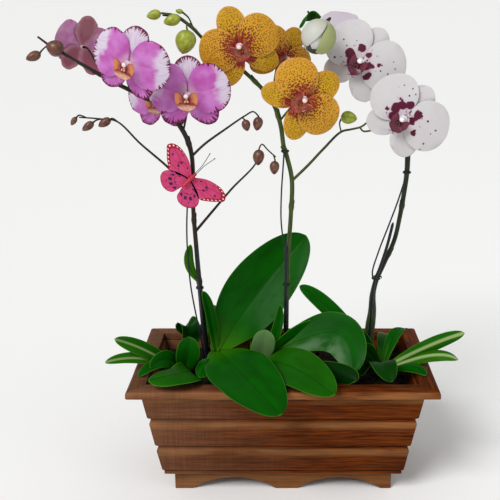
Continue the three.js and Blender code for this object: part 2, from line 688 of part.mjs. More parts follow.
// Rosettes: leaves that spring from the heights given on a short upright crown
const ROSETTES = {
  far_left: {
    crown: v(-132, -22, 152),
    leaves: [
      {
        height: 150, mid: v(-174, -34, 181), tip: v(-212, -42, 200),
        side: v(0.3, 0.35, 0.9), halfWidth: 10, fold: 0.5,
      },
      {
        height: 146, mid: v(-178, -40, 172), tip: v(-223, -54, 173),
        side: v(0.1, 0.75, 0.65), halfWidth: 8, fold: 0.3,
      },
      {
        height: 144, mid: v(-156, -48, 168), tip: v(-180, -68, 160),
        side: v(-0.5, 0.7, 0.4), halfWidth: 8,
      },
      {
        height: 148, mid: v(-118, -84, 173), tip: v(-161, -106, 172),
        side: v(0.5, -0.86, 0), halfWidth: 21, fold: 0.1, roll: -10,
      },
      {
        height: 148, mid: v(-122, -34, 176), tip: v(-120, -30, 198),
        side: v(1, 0.1, 0), halfWidth: 15, fold: 0.35,
      },
      { height: 148, mid: v(-126, 10, 194), tip: v(-132, 26, 180), side: v(0.4, 0.9, 0.2), halfWidth: 16 },
      { height: 148, mid: v(-118, 36, 184), tip: v(-112, 74, 168), side: v(1, 0, 0), halfWidth: 14 },
      { height: 146, mid: v(-146, -42, 173), tip: v(-166, -62, 170), side: v(0, 0.5, 0.86), halfWidth: 11 },
    ],
  },
  left: {
    crown: v(-85, -10, 174),
    leaves: [
      {
        height: 170, mid: v(-42, 40, 223), tip: v(31, 76, 304), side: v(0.7, -0.3, -0.5),
        halfWidth: 42, fold: 0.3, peak: 0.56, neck: 0.16,
      },
      {
        height: 172, mid: v(-52, -86, 173), tip: v(-3, -148, 147), side: v(-0.8, -0.56, -0.2),
        halfWidth: 39, fold: 0.12, peak: 0.52, neck: 0.3,
      },
      {
        height: 166, mid: v(-95, -2, 214), tip: v(-104, -2, 250),
        side: v(0.8, 0.6, 0), halfWidth: 9, fold: 0.3, roll: 20,
      },
      {
        height: 164, mid: v(-84, 66, 200), tip: v(-80, 122, 168),
        side: v(1, -0.15, 0), halfWidth: 24, fold: 0.2,
      },
      { height: 160, mid: v(-94, -46, 173), tip: v(-102, -78, 163), side: v(0.9, -0.4, 0), halfWidth: 13 },
    ],
  },
  middle: {
    crown: v(-36, -14, 158),
    leaves: [
      {
        height: 154, mid: v(6, -70, 176), tip: v(60, -126, 162),
        side: v(-0.7, -0.6, -0.42), halfWidth: 29, fold: 0.1, neck: 0.46,
      },
      {
        height: 154, mid: v(60, -26, 203), tip: v(86, -72, 167),
        side: v(-0.5, -0.4, -0.8), halfWidth: 27, fold: 0.14, peak: 0.6,
      },
      {
        height: 150, mid: v(-26, -26, 184), tip: v(-22, -26, 206),
        side: v(1, 0, 0.05), halfWidth: 15, fold: 0.2,
      },
      {
        height: 152, mid: v(-10, -10, 192), tip: v(-3, -8, 234),
        side: v(0.95, -0.3, -0.1), halfWidth: 7, fold: 0.4,
      },
      {
        height: 150, mid: v(22, -10, 196), tip: v(58, 4, 190),
        side: v(0.2, -0.3, 0.93), halfWidth: 14, fold: 0.2,
      },
      { height: 148, mid: v(54, -66, 167), tip: v(89, -92, 165), side: v(0, 0.6, 0.8), halfWidth: 13 },
      {
        height: 156, mid: v(-22, 66, 198), tip: v(-16, 118, 168),
        side: v(1, 0.15, 0), halfWidth: 22, fold: 0.2,
      },
      { height: 152, mid: v(-20, 22, 182), tip: v(-26, 48, 188), side: v(1, 0, 0.2), halfWidth: 15 },
    ],
  },
  right: {
    crown: v(130, -14, 154),
    leaves: [
      {
        height: 148, mid: v(69, 2, 216), tip: v(22, 12, 253),
        side: v(0.83, 0.2, 0.5), halfWidth: 11, fold: 0.2,
      },
      {
        height: 150, mid: v(184, -32, 186), tip: v(228, -42, 208),
        side: v(-0.3, 0.35, 0.9), halfWidth: 9, fold: 0.5,
      },
      {
        height: 146, mid: v(186, -38, 176), tip: v(221, -46, 174),
        side: v(-0.1, 0.75, 0.65), halfWidth: 8, fold: 0.3,
      },
      { height: 144, mid: v(160, -44, 164), tip: v(178, -68, 162), side: v(0.5, 0.7, 0.4), halfWidth: 8 },
      { height: 148, mid: v(148, 14, 182), tip: v(166, 30, 186), side: v(0.7, -0.6, 0.1), halfWidth: 10 },
      { height: 146, mid: v(124, -54, 172), tip: v(134, -83, 160), side: v(-1, 0, 0), halfWidth: 17 },
      { height: 148, mid: v(106, -36, 166), tip: v(99, -60, 158), side: v(-0.8, 0.5, 0), halfWidth: 12 },
      { height: 148, mid: v(140, 40, 168), tip: v(146, 76, 160), side: v(1, -0.2, 0), halfWidth: 12 },
      { height: 148, mid: v(101, -34, 182), tip: v(82, -66, 160), side: v(0.5, 0.2, 0.8), halfWidth: 12 },
      { height: 146, mid: v(106, 2, 179), tip: v(90, 16, 192), side: v(0.6, 0, 0.8), halfWidth: 11 },
    ],
  },
};
const CROWN_RADIUS = 7.5;

function addRosettes() {
  for (const [name, { crown, leaves }] of Object.entries(ROSETTES)) {
    const neck = tube([crown.clone().setZ(STEM_FOOT), crown], [CROWN_RADIUS, 0.85 * CROWN_RADIUS], 1, 8);
    const blades = leaves.map((form) => {
      const base = crown.clone().setZ(form.height);
      const outward = form.mid.clone().sub(base).setZ(0).setLength(0.5 * CROWN_RADIUS);
      return leaf({ base: base.add(outward), ...form });
    });
    addPart(`leaves_${name}`, unite([neck, ...blades]), "leaf");
  }
}

// Supports: a coated stake beside each spike, in places with a thin wire that goes on from it, and
// flat ties round both. A tie grips its rod and has a little play round the stem.
const STAKES = {
  pink: {
    rod: [
      v(-99.5, 1.6, STAKE_FOOT), v(-99.5, 1.6, 148), v(-104.4, 2, 207),
      v(-107.4, 0.3, 255), v(-110.4, -1.5, 309),
    ],
    wire: null,
    ties: [{ height: 253, stemRadius: 3.5, rod: v(-107.4, 0.3, 0), stem: v(-108, 6, 0) }],
  },
  gold: {
    rod: [v(2, 5.7, STAKE_FOOT), v(2, 5.7, 150), v(3, 5, 200), v(4, 2.4, 257), v(3.4, -0.2, 313)],
    wire: [
      v(3.2, 0, 308), v(0, -1.4, 322), v(-2.4, -3.4, 345),
      v(-2, -7, 380), v(0, -9.4, 412), v(1.6, -10.6, 437),
    ],
    ties: [
      { height: 257, stemRadius: 3.3, rod: v(4, 2.4, 0), stem: v(5, 8, 0) },
      { height: 433, stemRadius: 3.3, rod: v(1.3, -10.4, 0), stem: v(2.8, -5.1, 0) },
    ],
  },
  white: {
    rod: [
      v(113, 2.4, STAKE_FOOT), v(113, 2.4, 181), v(114.6, 2, 205), v(115.4, 0, 237), v(118, -2.6, 266),
      v(123, -3.6, 280), v(132, -4, 311), v(139, -4, 343),
    ],
    wire: [
      v(118, -3.4, 264), v(114, -7, 276), v(121, -8, 305), v(132, -8, 337),
      v(143, -8.4, 370), v(152, -7.7, 402), v(153.4, -7.6, 410),
    ],
    ties: [
      { height: 267, stemRadius: 4.4, rod: v(118, -2.6, 0), stem: v(122, 6, 0) },
      { height: 406, stemRadius: 3.6, rod: v(152.8, -7.6, 0), stem: v(154, -2, 0) },
    ],
  },
};
const ARCH_WIRES = {
  pink: { stem: SPIKES.pink.stem.slice(9, 14), offset: v(0, 4.2, -2.6) },
  gold: { stem: SPIKES.gold.stem.slice(12), offset: v(0, 3.5, -2.3) },
};
const TIE_HEIGHT = 2.4;
const TIE_THICKNESS = 1.1;

function tie({ height, stemRadius, stem, rod }) {
  const play = stemRadius + 0.5;
  const reach = rod.distanceTo(stem);
  const loop = (path, radius) => {
    path.absarc(0, 0, radius, 0, Math.PI);
    path.absarc(0, play - reach, radius, Math.PI, 2 * Math.PI);
    path.closePath();
    return path;
  };
  const shape = loop(new THREE.Shape(), play + TIE_THICKNESS);
  shape.holes.push(loop(new THREE.Path(), play));
  return new THREE.ExtrudeGeometry(shape, { depth: TIE_HEIGHT, bevelEnabled: false, curveSegments: 3 })
    .rotateZ(Math.atan2(rod.x - stem.x, stem.y - rod.y))
    .translate(stem.x, stem.y, height - TIE_HEIGHT / 2);
}

function addSupports() {
  for (const [name, { rod, wire, ties }] of Object.entries(STAKES)) {
    const solids = [tube(rod, [STAKE_RADIUS, STAKE_RADIUS], 8, 6), ...ties.map(tie)];
    if (wire) solids.push(tube(wire, [WIRE_RADIUS, WIRE_RADIUS], 8, 4));
    addPart(`stake_${name}`, unite(solids), "stake");
  }
  for (const [name, { stem, offset }] of Object.entries(ARCH_WIRES)) {
    const path = stem.map((point) => point.clone().add(offset));
    addPart(`wire_${name}`, tube(path, [WIRE_RADIUS, WIRE_RADIUS], 8, 4), "stake");
  }
}

// Butterfly ornament: two pairs of thin wings, a body in front of them, and a wire that holds it.
// Its own frame has Y towards the head, X to its right and Z the way it faces.
const BUTTERFLY = { centre: v(-114, -24, 401), turn: -46 };
const FOREWING = [
  [-1, 3], [4.6, 7.7], [14, 14.6], [25.4, 18.7], [36, 19.9], [44.6, 17.4], [48.5, 11.5], [43.4, 5],
  [33.6, -4], [25, -9], [10, -3], [-1, -1],
];
const HINDWING = [
  [-1, 1], [8, -1], [21, -6], [29, -14.6], [28, -22], [18.8, -29], [9.2, -29.4], [3.4, -25.4], [1.4, -18],
  [-1, -9],
];
const WIRE_FOOT = v(-101, -12, STAKE_FOOT);

function wing(points, side) {
  const shape = new THREE.Shape();
  const mirrored = points.map(([x, y]) => new THREE.Vector2(side * x, y));
  shape.moveTo(mirrored[0].x, mirrored[0].y);
  shape.splineThru(mirrored.slice(1));
  shape.closePath();
  const settings = { depth: PETAL_THICKNESS, bevelEnabled: false, curveSegments: 1 };
  return new THREE.ExtrudeGeometry(shape, settings);
}

function addButterfly() {
  const group = new THREE.Group();
  group.position.copy(BUTTERFLY.centre);
  group.quaternion.copy(spin(v(1, 0, 0), 90)).multiply(spin(v(0, 0, 1), BUTTERFLY.turn));
  const wings = [1, -1].flatMap((side) => [wing(FOREWING, side), wing(HINDWING, side)]);
  addPart("butterfly_wings", unite(wings), "wing", group);
  const bodyHalfWidth = 3.2;
  const height = PETAL_THICKNESS + SEAT_GAP + bodyHalfWidth;
  const body = egg(v(0, -13, height), v(0, 12, height), bodyHalfWidth, [], 8);
  const feelers = [1, -1].map((side) => {
    const path = [v(side, 9, height), v(side - 0.5, 24, height), v(side * 4.3 - 1.2, 42, height + 1)];
    return tube(path, [0.5, 0.4], 4, 4);
  });
  addPart("butterfly_body", unite([body, ...feelers]), "body", group);
  assembly.add(group);
  const back = BUTTERFLY.centre.clone().add(v(0, WIRE_RADIUS + SEAT_GAP, 4));
  const path = [
    WIRE_FOOT, WIRE_FOOT.clone().setZ(150), v(-118, -10, 261), v(-121, -10, 322), v(-118, -18, 372), back,
  ];
  addPart("butterfly_wire", tube(path, [WIRE_RADIUS, WIRE_RADIUS], 12, 5), "stake");
}

// Potting bark: fills the planter to just under the rim, its top rough, with a plain hole for each
// stem, stake and crown.
const MEDIUM_COLUMNS = 8;
const MEDIUM_ROWS = 5;

function addMedium() {
  const clearance = WALL_THICKNESS + 0.6;
  const halfWidth = (z) => wallHalfWidth(z) - clearance;
  const halfDepth = (z) => wallHalfDepth(z) - clearance;
  const positions = [];
  const triangles = [];
  for (let j = 0; j <= MEDIUM_ROWS; j++) {
    for (let i = 0; i <= MEDIUM_COLUMNS; i++) {
      const edge = i === 0 || j === 0 || i === MEDIUM_COLUMNS || j === MEDIUM_ROWS;
      const rough = edge ? 0 : 2.6 * Math.sin(i * 2.3 + j * 1.1) * Math.cos(j * 2.9 - i * 0.7);
      const x = halfWidth(MEDIUM_TOP) * ((2 * i) / MEDIUM_COLUMNS - 1);
      const y = halfDepth(MEDIUM_TOP) * ((2 * j) / MEDIUM_ROWS - 1);
      positions.push(x, y, MEDIUM_TOP + rough);
    }
  }
  const at = (i, j) => j * (MEDIUM_COLUMNS + 1) + i;
  for (let j = 0; j < MEDIUM_ROWS; j++) {
    for (let i = 0; i < MEDIUM_COLUMNS; i++) {
      triangles.push(at(i, j), at(i + 1, j), at(i + 1, j + 1), at(i, j), at(i + 1, j + 1), at(i, j + 1));
    }
  }
  const border = [];
  for (let i = 0; i < MEDIUM_COLUMNS; i++) border.push(at(i, 0));
  for (let j = 0; j < MEDIUM_ROWS; j++) border.push(at(MEDIUM_COLUMNS, j));
  for (let i = MEDIUM_COLUMNS; i > 0; i--) border.push(at(i, MEDIUM_ROWS));
  for (let j = MEDIUM_ROWS; j > 0; j--) border.push(at(0, j));
  const low = positions.length / 3;
  const shrinkX = halfWidth(WALL_BOTTOM) / halfWidth(MEDIUM_TOP);
  const shrinkY = halfDepth(WALL_BOTTOM) / halfDepth(MEDIUM_TOP);
  for (const index of border) {
    positions.push(positions[3 * index] * shrinkX, positions[3 * index + 1] * shrinkY, WALL_BOTTOM);
  }
  border.forEach((top, k) => {
    const next = (k + 1) % border.length;
    triangles.push(top, low + k, low + next, top, low + next, border[next]);
    if (k > 0 && k + 1 < border.length) triangles.push(low, low + k + 1, low + k);
  });
  addPart("bark_medium", cut(geometryFrom(positions, triangles), mediumHoles()), "bark");
}

function mediumHoles() {
  const hole = (foot, radius) => {
    const open = (radius + SEAT_GAP) / Math.cos(Math.PI / 6);
    const floor = foot.clone().add(v(0, 0, -SEAT_GAP));
    return tube([floor, foot.clone().setZ(MEDIUM_TOP + 8)], [open, open + 1], 1, 6);
  };
  const stems = Object.values(SPIKES).map(({ stem, radii }) => hole(stem[0], radii[0]));
  const crownFeet = Object.values(ROSETTES).map(({ crown }) => crown.clone().setZ(STEM_FOOT));
  const crowns = crownFeet.map((foot) => hole(foot, CROWN_RADIUS));
  const stakes = Object.values(STAKES).map(({ rod }) => hole(rod[0], STAKE_RADIUS));
  return [...stems, ...crowns, ...stakes, hole(WIRE_FOOT, WIRE_RADIUS)];
}

addPlanter();
addBlooms();
addOpeningBloom();
addSpikes();
addRosettes();
addSupports();
addButterfly();
addMedium();

assembly.updateMatrixWorld(true);
const bounds = new THREE.Box3().setFromObject(assembly, true);
const centre = bounds.getCenter(v(0, 0, 0));
assembly.position.set(-centre.x, -centre.y, -bounds.min.z);
assembly.updateMatrixWorld(true);

export default assembly;
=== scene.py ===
"""Three moth orchids, pink, golden and white, in a stained wooden planter with a butterfly pick."""

import math
import random

import bmesh
import bpy
from mathutils import Matrix, Quaternion, Vector, noise


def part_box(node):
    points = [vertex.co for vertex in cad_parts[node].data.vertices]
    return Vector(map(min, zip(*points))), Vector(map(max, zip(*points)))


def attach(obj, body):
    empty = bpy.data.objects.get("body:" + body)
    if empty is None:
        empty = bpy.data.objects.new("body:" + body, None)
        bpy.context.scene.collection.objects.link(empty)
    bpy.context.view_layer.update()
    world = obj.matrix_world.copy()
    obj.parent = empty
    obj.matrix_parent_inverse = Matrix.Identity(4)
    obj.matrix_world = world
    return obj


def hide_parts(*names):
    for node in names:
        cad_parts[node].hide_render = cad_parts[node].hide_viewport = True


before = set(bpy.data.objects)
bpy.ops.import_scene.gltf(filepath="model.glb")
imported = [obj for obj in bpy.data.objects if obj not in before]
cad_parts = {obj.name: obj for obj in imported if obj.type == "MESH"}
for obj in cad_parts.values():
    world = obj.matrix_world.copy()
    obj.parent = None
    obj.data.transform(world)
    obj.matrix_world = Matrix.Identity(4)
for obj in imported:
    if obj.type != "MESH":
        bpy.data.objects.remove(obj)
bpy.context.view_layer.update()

# Shapes are written in millimetres from the middle of the planter's foot, as the plants stand in it.
MM = 0.001


def planter_middle():
    """The middle of the planter's foot, from the rim boards of the frame."""
    front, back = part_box("rim_front"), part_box("rim_back")
    return Vector(((front[0].x + front[1].x) / 2, (front[0].y + back[1].y) / 2, 0))


MIDDLE = planter_middle()
TO_FRAME = Matrix.Translation(MIDDLE) @ Matrix.Scale(MM, 4)

# Planter
WALL_BOTTOM = 32
WALL_TAPER = 0.178
WALL_HALF_WIDTH = 153
WALL_HALF_DEPTH = 73
WALL_FOOT = 27
WALL_THICKNESS = 9
BARK_TOP = 139
BOARD_SLICE = 14
EDGE_ROUNDING = 0.9
SEAM_CLOSING = 0.22

# Plants
STEM_FOOT = 112
STAKE_FOOT = 106
STAKE_RADIUS = 1.9
WIRE_RADIUS = 1
HUB_BACK = 3.4
HUB_FRONT = 2.6
SEAT_GAP = 0.3
PETAL_THICKNESS = 0.8
LEAF_THICKNESS = 1.8
BUD_STALK_RADIUS = 0.9


def v(x, y, z):
    return Vector((x, y, z))


def spin(axis, degrees):
    return Quaternion(axis, math.radians(degrees))


def smooth(low, high, value):
    """0 below low, 1 above high and an even curve between."""
    share = min(max((value - low) / (high - low), 0), 1)
    return share * share * (3 - 2 * share)


def along(values, u):
    """The value at u, from 0 to 1, of evenly spaced values."""
    place = u * (len(values) - 1)
    step = min(int(place), len(values) - 2)
    return values[step] + (values[step + 1] - values[step]) * (place - step)


def smooth_path(points, count):
    """count + 1 evenly spaced points of the centripetal curve through the points."""
    fine = 12
    ends = [2 * points[0] - points[1], *points, 2 * points[-1] - points[-2]]
    dense = []
    for a, b, c, d in zip(ends, ends[1:], ends[2:], ends[3:]):
        before, here, after = (math.sqrt(max((q - p).length, 1e-3)) for p, q in ((a, b), (b, c), (c, d)))
        leave = here * ((b - a) / before - (c - a) / (before + here) + (c - b) / here)
        arrive = here * ((c - b) / here - (d - b) / (here + after) + (d - c) / after)
        for k in range(fine):
            w = k / fine
            dense.append(
                b * (2 * w**3 - 3 * w**2 + 1) + leave * (w**3 - 2 * w**2 + w)
                + c * (3 * w**2 - 2 * w**3) + arrive * (w**3 - w**2)
            )
    dense.append(points[-1].copy())
    lengths = [0.0]
    for p, q in zip(dense, dense[1:]):
        lengths.append(lengths[-1] + (q - p).length)
    path = []
    step = 0
    for k in range(count + 1):
        target = lengths[-1] * k / count
        while step < len(dense) - 2 and lengths[step + 1] < target:
            step += 1
        span = max(lengths[step + 1] - lengths[step], 1e-6)
        path.append(dense[step].lerp(dense[step + 1], (target - lengths[step]) / span))
    return path


def path_length(points):
    return sum((q - p).length for p, q in zip(points, points[1:]))


class Piece:
    """A mesh in the making. Each point carries three vectors for its material:
    share: how far along and across its blade or stem it is, and which face it is on
    plan: the same in millimetres, and a number that sets its pattern apart
    margin: millimetres from the edge, millimetres along the edge, and the kind of part
    """

    def __init__(self):
        self.mesh = bmesh.new()
        self.mesh.loops.layers.uv.new("UVMap")
        for name in ("share", "plan", "margin"):
            self.mesh.verts.layers.float_vector.new(name)

    def mark(self, vertex, share, plan, margin):
        layers = self.mesh.verts.layers.float_vector
        vertex[layers["share"]] = share
        vertex[layers["plan"]] = plan
        vertex[layers["margin"]] = margin

    def grid(self, rows, columns, place, material=0, closed=True):
        """A grid of faces with each corner at place(s, u), s along it and u across, both 0 to 1."""
        layers = [self.mesh.verts.layers.float_vector[name] for name in ("share", "plan", "margin")]
        corners = bmesh.ops.create_grid(
            self.mesh, x_segments=rows, y_segments=columns, size=0.5, calc_uvs=True
        )["verts"]
        for corner in corners:
            point, *marks = place(corner.co.x + 0.5, corner.co.y + 0.5)
            corner.co = point
            for layer, mark in zip(layers, marks):
                corner[layer] = mark
        bmesh.ops.remove_doubles(self.mesh, verts=corners, dist=1e-4)
        corners = [corner for corner in corners if corner.is_valid]
        faces = {face for corner in corners for face in corner.link_faces}
        if closed:
            rim = list({edge for face in faces for edge in face.edges if edge.is_boundary})
            if rim:
                faces.update(bmesh.ops.holes_fill(self.mesh, edges=rim, sides=0)["faces"])
        for face in faces:
            face.smooth = True
            face.material_index = material
        return corners

    def blade(self, surface, rows, sides, thickness, marks, material=0):
        """A fleshy blade round a surface given as a function of s, along it, and t, from -1 to 1."""
        step = 1e-3

        def place(along_it, round_it):
            s = along_it * (1.5 - 0.5 * along_it**2)
            turn = 2 * math.pi * round_it
            t, side = math.cos(turn), math.sin(turn)
            lengthwise = surface(s + step, t) - surface(s - step, t)
            crosswise = surface(s, t + step) - surface(s, t - step)
            normal = lengthwise.cross(crosswise).normalized()
            point = surface(s, t) + normal * (side * thickness / 2)
            plan, margin = marks(s, t)
            return point, (s, t, side), plan, margin

        self.grid(rows, sides, place, material)

    def tube(self, points, radii, steps, sides, material=0, seed=0.0, kind=0.0):
        """A round stem along the smooth curve through the points, its radius through the radii."""
        path = smooth_path(points, steps)
        length = path_length(path)
        forwards = []
        acrosses = []
        across = Vector((0, 1, 0))
        for i in range(steps + 1):
            forward = (path[min(i + 1, steps)] - path[max(i - 1, 0)]).normalized()
            if i == 0 and abs(forward.y) > 0.9:
                across = Vector((1, 0, 0))
            across = (across - forward * across.dot(forward)).normalized()
            forwards.append(forward)
            acrosses.append(across)

        def place(s, u):
            i = round(s * steps)
            radius = radii(s) if callable(radii) else along(radii, s)
            turn = 2 * math.pi * u
            up = forwards[i].cross(acrosses[i])
            point = path[i] + radius * (acrosses[i] * math.cos(turn) + up * math.sin(turn))
            return point, (s, u, 0), (s * length, u * 2 * math.pi * radius, seed), (0, s * length, kind)

        self.grid(steps, sides, place, material)

    def egg(self, root, point, half_width, seed=0.0, material=0, kind=1.0, rows=14, sides=18, seams=3):
        """A bud from its root to its point, with shallow seams between its closed sepals."""
        forward = (point - root).normalized()
        across = forward.orthogonal().normalized()
        up = forward.cross(across)
        length = (point - root).length

        def place(s, u):
            turn = 2 * math.pi * u
            swell = math.sin(math.pi * min(s, 1) ** 0.82) ** 0.62 if 0 < s < 1 else 0
            seam = 1 - 0.07 * smooth(0.72, 1, abs(math.cos(seams * turn / 2))) * smooth(0.1, 0.6, s)
            radius = half_width * swell * seam
            spot = root + forward * (length * s) + radius * (across * math.cos(turn) + up * math.sin(turn))
            return spot, (s, u, 0), (s * length, u * 6 * half_width, seed), (0, s * length, kind)

        self.grid(rows, sides, place, material)

    def move(self, matrix):
        bmesh.ops.transform(self.mesh, matrix=matrix, verts=self.mesh.verts[:])

    def finish(self, name, materials, nodes, sharp=None):
        """Puts the mesh in the frame as an object that stands for the nodes."""
        self.move(TO_FRAME)
        bmesh.ops.recalc_face_normals(self.mesh, faces=self.mesh.faces[:])
        mesh = bpy.data.meshes.new(name)
        self.mesh.to_mesh(mesh)
        self.mesh.free()
        for material in materials:
            mesh.materials.append(material)
        if sharp:
            mesh.shade_smooth()
            mesh.set_sharp_from_angle(angle=math.radians(sharp))
        piece = bpy.data.objects.new(name, mesh)
        bpy.context.scene.collection.objects.link(piece)
        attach(piece, "root")
        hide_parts(*nodes)


def srgb(red, green, blue):
    """A colour for a shader from its everyday 0 to 255 values."""
    parts = (red / 255, green / 255, blue / 255)
    linear = [c / 12.92 if c < 0.04 else ((c + 0.055) / 1.055) ** 2.4 for c in parts]
    return (*linear, 1.0)


def srgbs(colours):
    return [srgb(*colour) for colour in colours]


class Layout:
    """Lays out shader nodes, in a material or in a node group."""

    def __init__(self, tree):
        self.tree = tree

    def put(self, socket, value):
        if isinstance(value, bpy.types.NodeSocket):
            self.tree.links.new(value, socket)
        else:
            socket.default_value = value

    def node(self, kind, inputs=None, **settings):
        node = self.tree.nodes.new(kind)
        for name, value in settings.items():
            setattr(node, name, value)
        for name, value in (inputs or {}).items():
            self.put(node.inputs[name], value)
        return node

    def math(self, operation, *values):
        node = self.node("ShaderNodeMath", operation=operation)
        for socket, value in zip(node.inputs, values):
            self.put(socket, value)
        return node.outputs[0]

    def times(self, first, second):
        return self.math("MULTIPLY", first, second)

    def times_plus(self, first, second, third):
        """The first times the second, plus the third."""
        return self.math("MULTIPLY_ADD", first, second, third)

    def mix(self, factor, first, second):
        node = self.node("ShaderNodeMix", data_type="RGBA")
        self.put(node.inputs[0], factor)
        self.put(node.inputs[6], first)
        self.put(node.inputs[7], second)
        return node.outputs[2]

    def tint(self, colour, other, mask, share):
        """The colour turned towards the other by the share, where the mask is 1."""
        return self.mix(self.times(mask, share), colour, other)

    def mask(self, value, low, high):
        """0 where the value is below low, 1 where it is above high. Low may be the greater one."""
        node = self.node("ShaderNodeMapRange", interpolation_type="SMOOTHSTEP")
        for name, number in (("Value", value), ("From Min", low), ("From Max", high)):
            self.put(node.inputs[name], number)
        return node.outputs[0]

    def marks(self, name):
        """The vector that the points carry under this name, then its three numbers."""
        attribute = self.node("ShaderNodeAttribute", attribute_name=name)
        parts = self.node("ShaderNodeSeparateXYZ", {0: attribute.outputs["Vector"]})
        return attribute.outputs["Vector"], *parts.outputs

    def vector(self, x, y, z):
        return self.node("ShaderNodeCombineXYZ", {0: x, 1: y, 2: z}).outputs[0]

    def scaled(self, x, x_scale, y, y_scale, z):
        """A vector of two numbers, each times its scale, and a third as it is."""
        return self.vector(self.times(x, x_scale), self.times(y, y_scale), z)

    def stretch(self, vector, scale):
        return self.node("ShaderNodeVectorMath", {0: vector, 1: scale}, operation="MULTIPLY").outputs[0]

    def add(self, first, second):
        return self.node("ShaderNodeVectorMath", {0: first, 1: second}, operation="ADD").outputs[0]

    def noise(self, vector, scale, detail=2.0, roughness=0.5):
        inputs = {"Vector": vector, "Scale": scale, "Detail": detail, "Roughness": roughness}
        return self.node("ShaderNodeTexNoise", inputs).outputs[0]

    def group(self, group, **inputs):
        node = self.node("ShaderNodeGroup", node_tree=group)
        for name, value in inputs.items():
            self.put(node.inputs[name.replace("_", " ")], value)
        return node.outputs


def build_group(name, inputs, outputs, fill):
    """A shared effect: fill gets a layout and the inputs' sockets and gives the outputs' sockets."""
    group = bpy.data.node_groups.new(name, "ShaderNodeTree")
    for label, kind in inputs:
        group.interface.new_socket(label, in_out="INPUT", socket_type=f"NodeSocket{kind}")
    for label, kind in outputs:
        group.interface.new_socket(label, in_out="OUTPUT", socket_type=f"NodeSocket{kind}")
    layout = Layout(group)
    start = layout.node("NodeGroupInput")
    end = layout.node("NodeGroupOutput")
    for socket, result in zip(end.inputs, fill(layout, start.outputs)):
        group.links.new(result, socket)
    return group


def fill_veins(layout, sockets):
    """Thin lines that run along a blade and waver a little: 1 on a vein, 0 between."""
    parts = layout.node("ShaderNodeSeparateXYZ", {0: sockets["Share"]})
    along_it, across_it = parts.outputs[0], parts.outputs[1]
    waver = layout.noise(layout.stretch(sockets["Share"], (3.0, 2.0, 1.0)), 1.6)
    shifted = layout.times_plus(waver, 0.24, across_it)
    wave = layout.math("SINE", layout.times(shifted, sockets["Count"]))
    line = layout.mask(layout.math("ABSOLUTE", wave), 0.45, 0.0)
    fading = layout.mask(along_it, 1.0, 0.5)
    return [line, layout.times(line, fading)]


def fill_spots(layout, sockets):
    """Round spots in cells of a pattern, as large as the radius allows, with some cells left bare.
    The vector's third number sets one blade's pattern apart from another's."""
    parts = layout.node("ShaderNodeSeparateXYZ", {0: sockets["Vector"]}).outputs
    apart = layout.vector(layout.times_plus(parts[2], 17.3, parts[0]), parts[1], 0.0)
    cells = layout.node("ShaderNodeTexVoronoi", {
        "Vector": apart, "Scale": 1.0, "Randomness": sockets["Scatter"],
    }, voronoi_dimensions="2D")
    parts = layout.node("ShaderNodeSeparateColor", {0: cells.outputs["Color"]})
    size = layout.times_plus(parts.outputs[0], 0.5, 0.75)
    radius = layout.times(size, sockets["Radius"])
    inside = layout.math("SUBTRACT", radius, cells.outputs["Distance"])
    kept = layout.math("LESS_THAN", parts.outputs[1], sockets["Share kept"])
    return [layout.times(layout.mask(inside, 0.0, 0.09), kept)]


def fill_grain(layout, sockets):
    """Sawn wood: fine lengthwise lines, dark pores, a few knots that bend them, and a slow stain."""
    plan = sockets["Plan"]
    knots = layout.node("ShaderNodeTexVoronoi", {
        "Vector": layout.stretch(plan, (0.006, 0.009, 0.018)), "Scale": 1.0, "Randomness": 1.0,
    })
    knot = layout.mask(knots.outputs["Distance"], 0.1, 0.03)
    bend = layout.mask(knots.outputs["Distance"], 0.4, 0.0)
    slow = layout.noise(layout.stretch(plan, (0.004, 0.05, 0.07)), 1.0, 3.0, 0.55)
    rings = layout.times_plus(slow, 60.0, layout.times(bend, 10.0))
    bands = layout.times_plus(layout.math("SINE", rings), 0.5, 0.5)
    fine = layout.noise(layout.stretch(plan, (0.014, 0.34, 0.4)), 1.0, 3.0, 0.6)
    lines = layout.times(layout.mask(fine, 0.34, 0.66), 0.65)
    bands = layout.times_plus(bands, 0.35, lines)
    pores = layout.mask(layout.noise(layout.stretch(plan, (0.03, 0.9, 1.1)), 1.0, 3.0, 0.6), 0.5, 0.68)
    stain = layout.noise(layout.stretch(plan, (0.008, 0.02, 0.03)), 1.0, 3.0, 0.55)
    return [bands, pores, knot, stain]


VEINS = build_group(
    "Veins", [("Share", "Vector"), ("Count", "Float")], [("Veins", "Float"), ("Fading veins", "Float")],
    fill_veins,
)
SPOTS = build_group(
    "Spots",
    [("Vector", "Vector"), ("Radius", "Float"), ("Scatter", "Float"), ("Share kept", "Float")],
    [("Mask", "Float")], fill_spots,
)
GRAIN = build_group(
    "Wood grain", [("Plan", "Vector")],
    [("Bands", "Float"), ("Pores", "Float"), ("Knots", "Float"), ("Stain", "Float")], fill_grain,
)


def material_of(name, colour_from, roughness=0.5, bump=0.1, distance=0.0004, **constants):
    """A material whose colour and relief come from colour_from, and the rest from plain constants."""
    material = bpy.data.materials.new(name)
    material.use_nodes = True
    tree = material.node_tree
    tree.nodes.clear()
    layout = Layout(tree)
    shader = layout.node("ShaderNodeBsdfPrincipled")
    end = layout.node("ShaderNodeOutputMaterial", {"Surface": shader.outputs[0]})
    end.is_active_output = True
    colour, height, *rough = colour_from(layout)
    layout.put(shader.inputs["Base Color"], colour)
    layout.put(shader.inputs["Roughness"], rough[0] if rough else roughness)
    if height is not None:
        relief = layout.node("ShaderNodeBump", {"Strength": bump, "Distance": distance, "Height": height})
        layout.put(shader.inputs["Normal"], relief.outputs[0])
    for label, value in constants.items():
        layout.put(shader.inputs[label.replace("_", " ")], value)
    return material


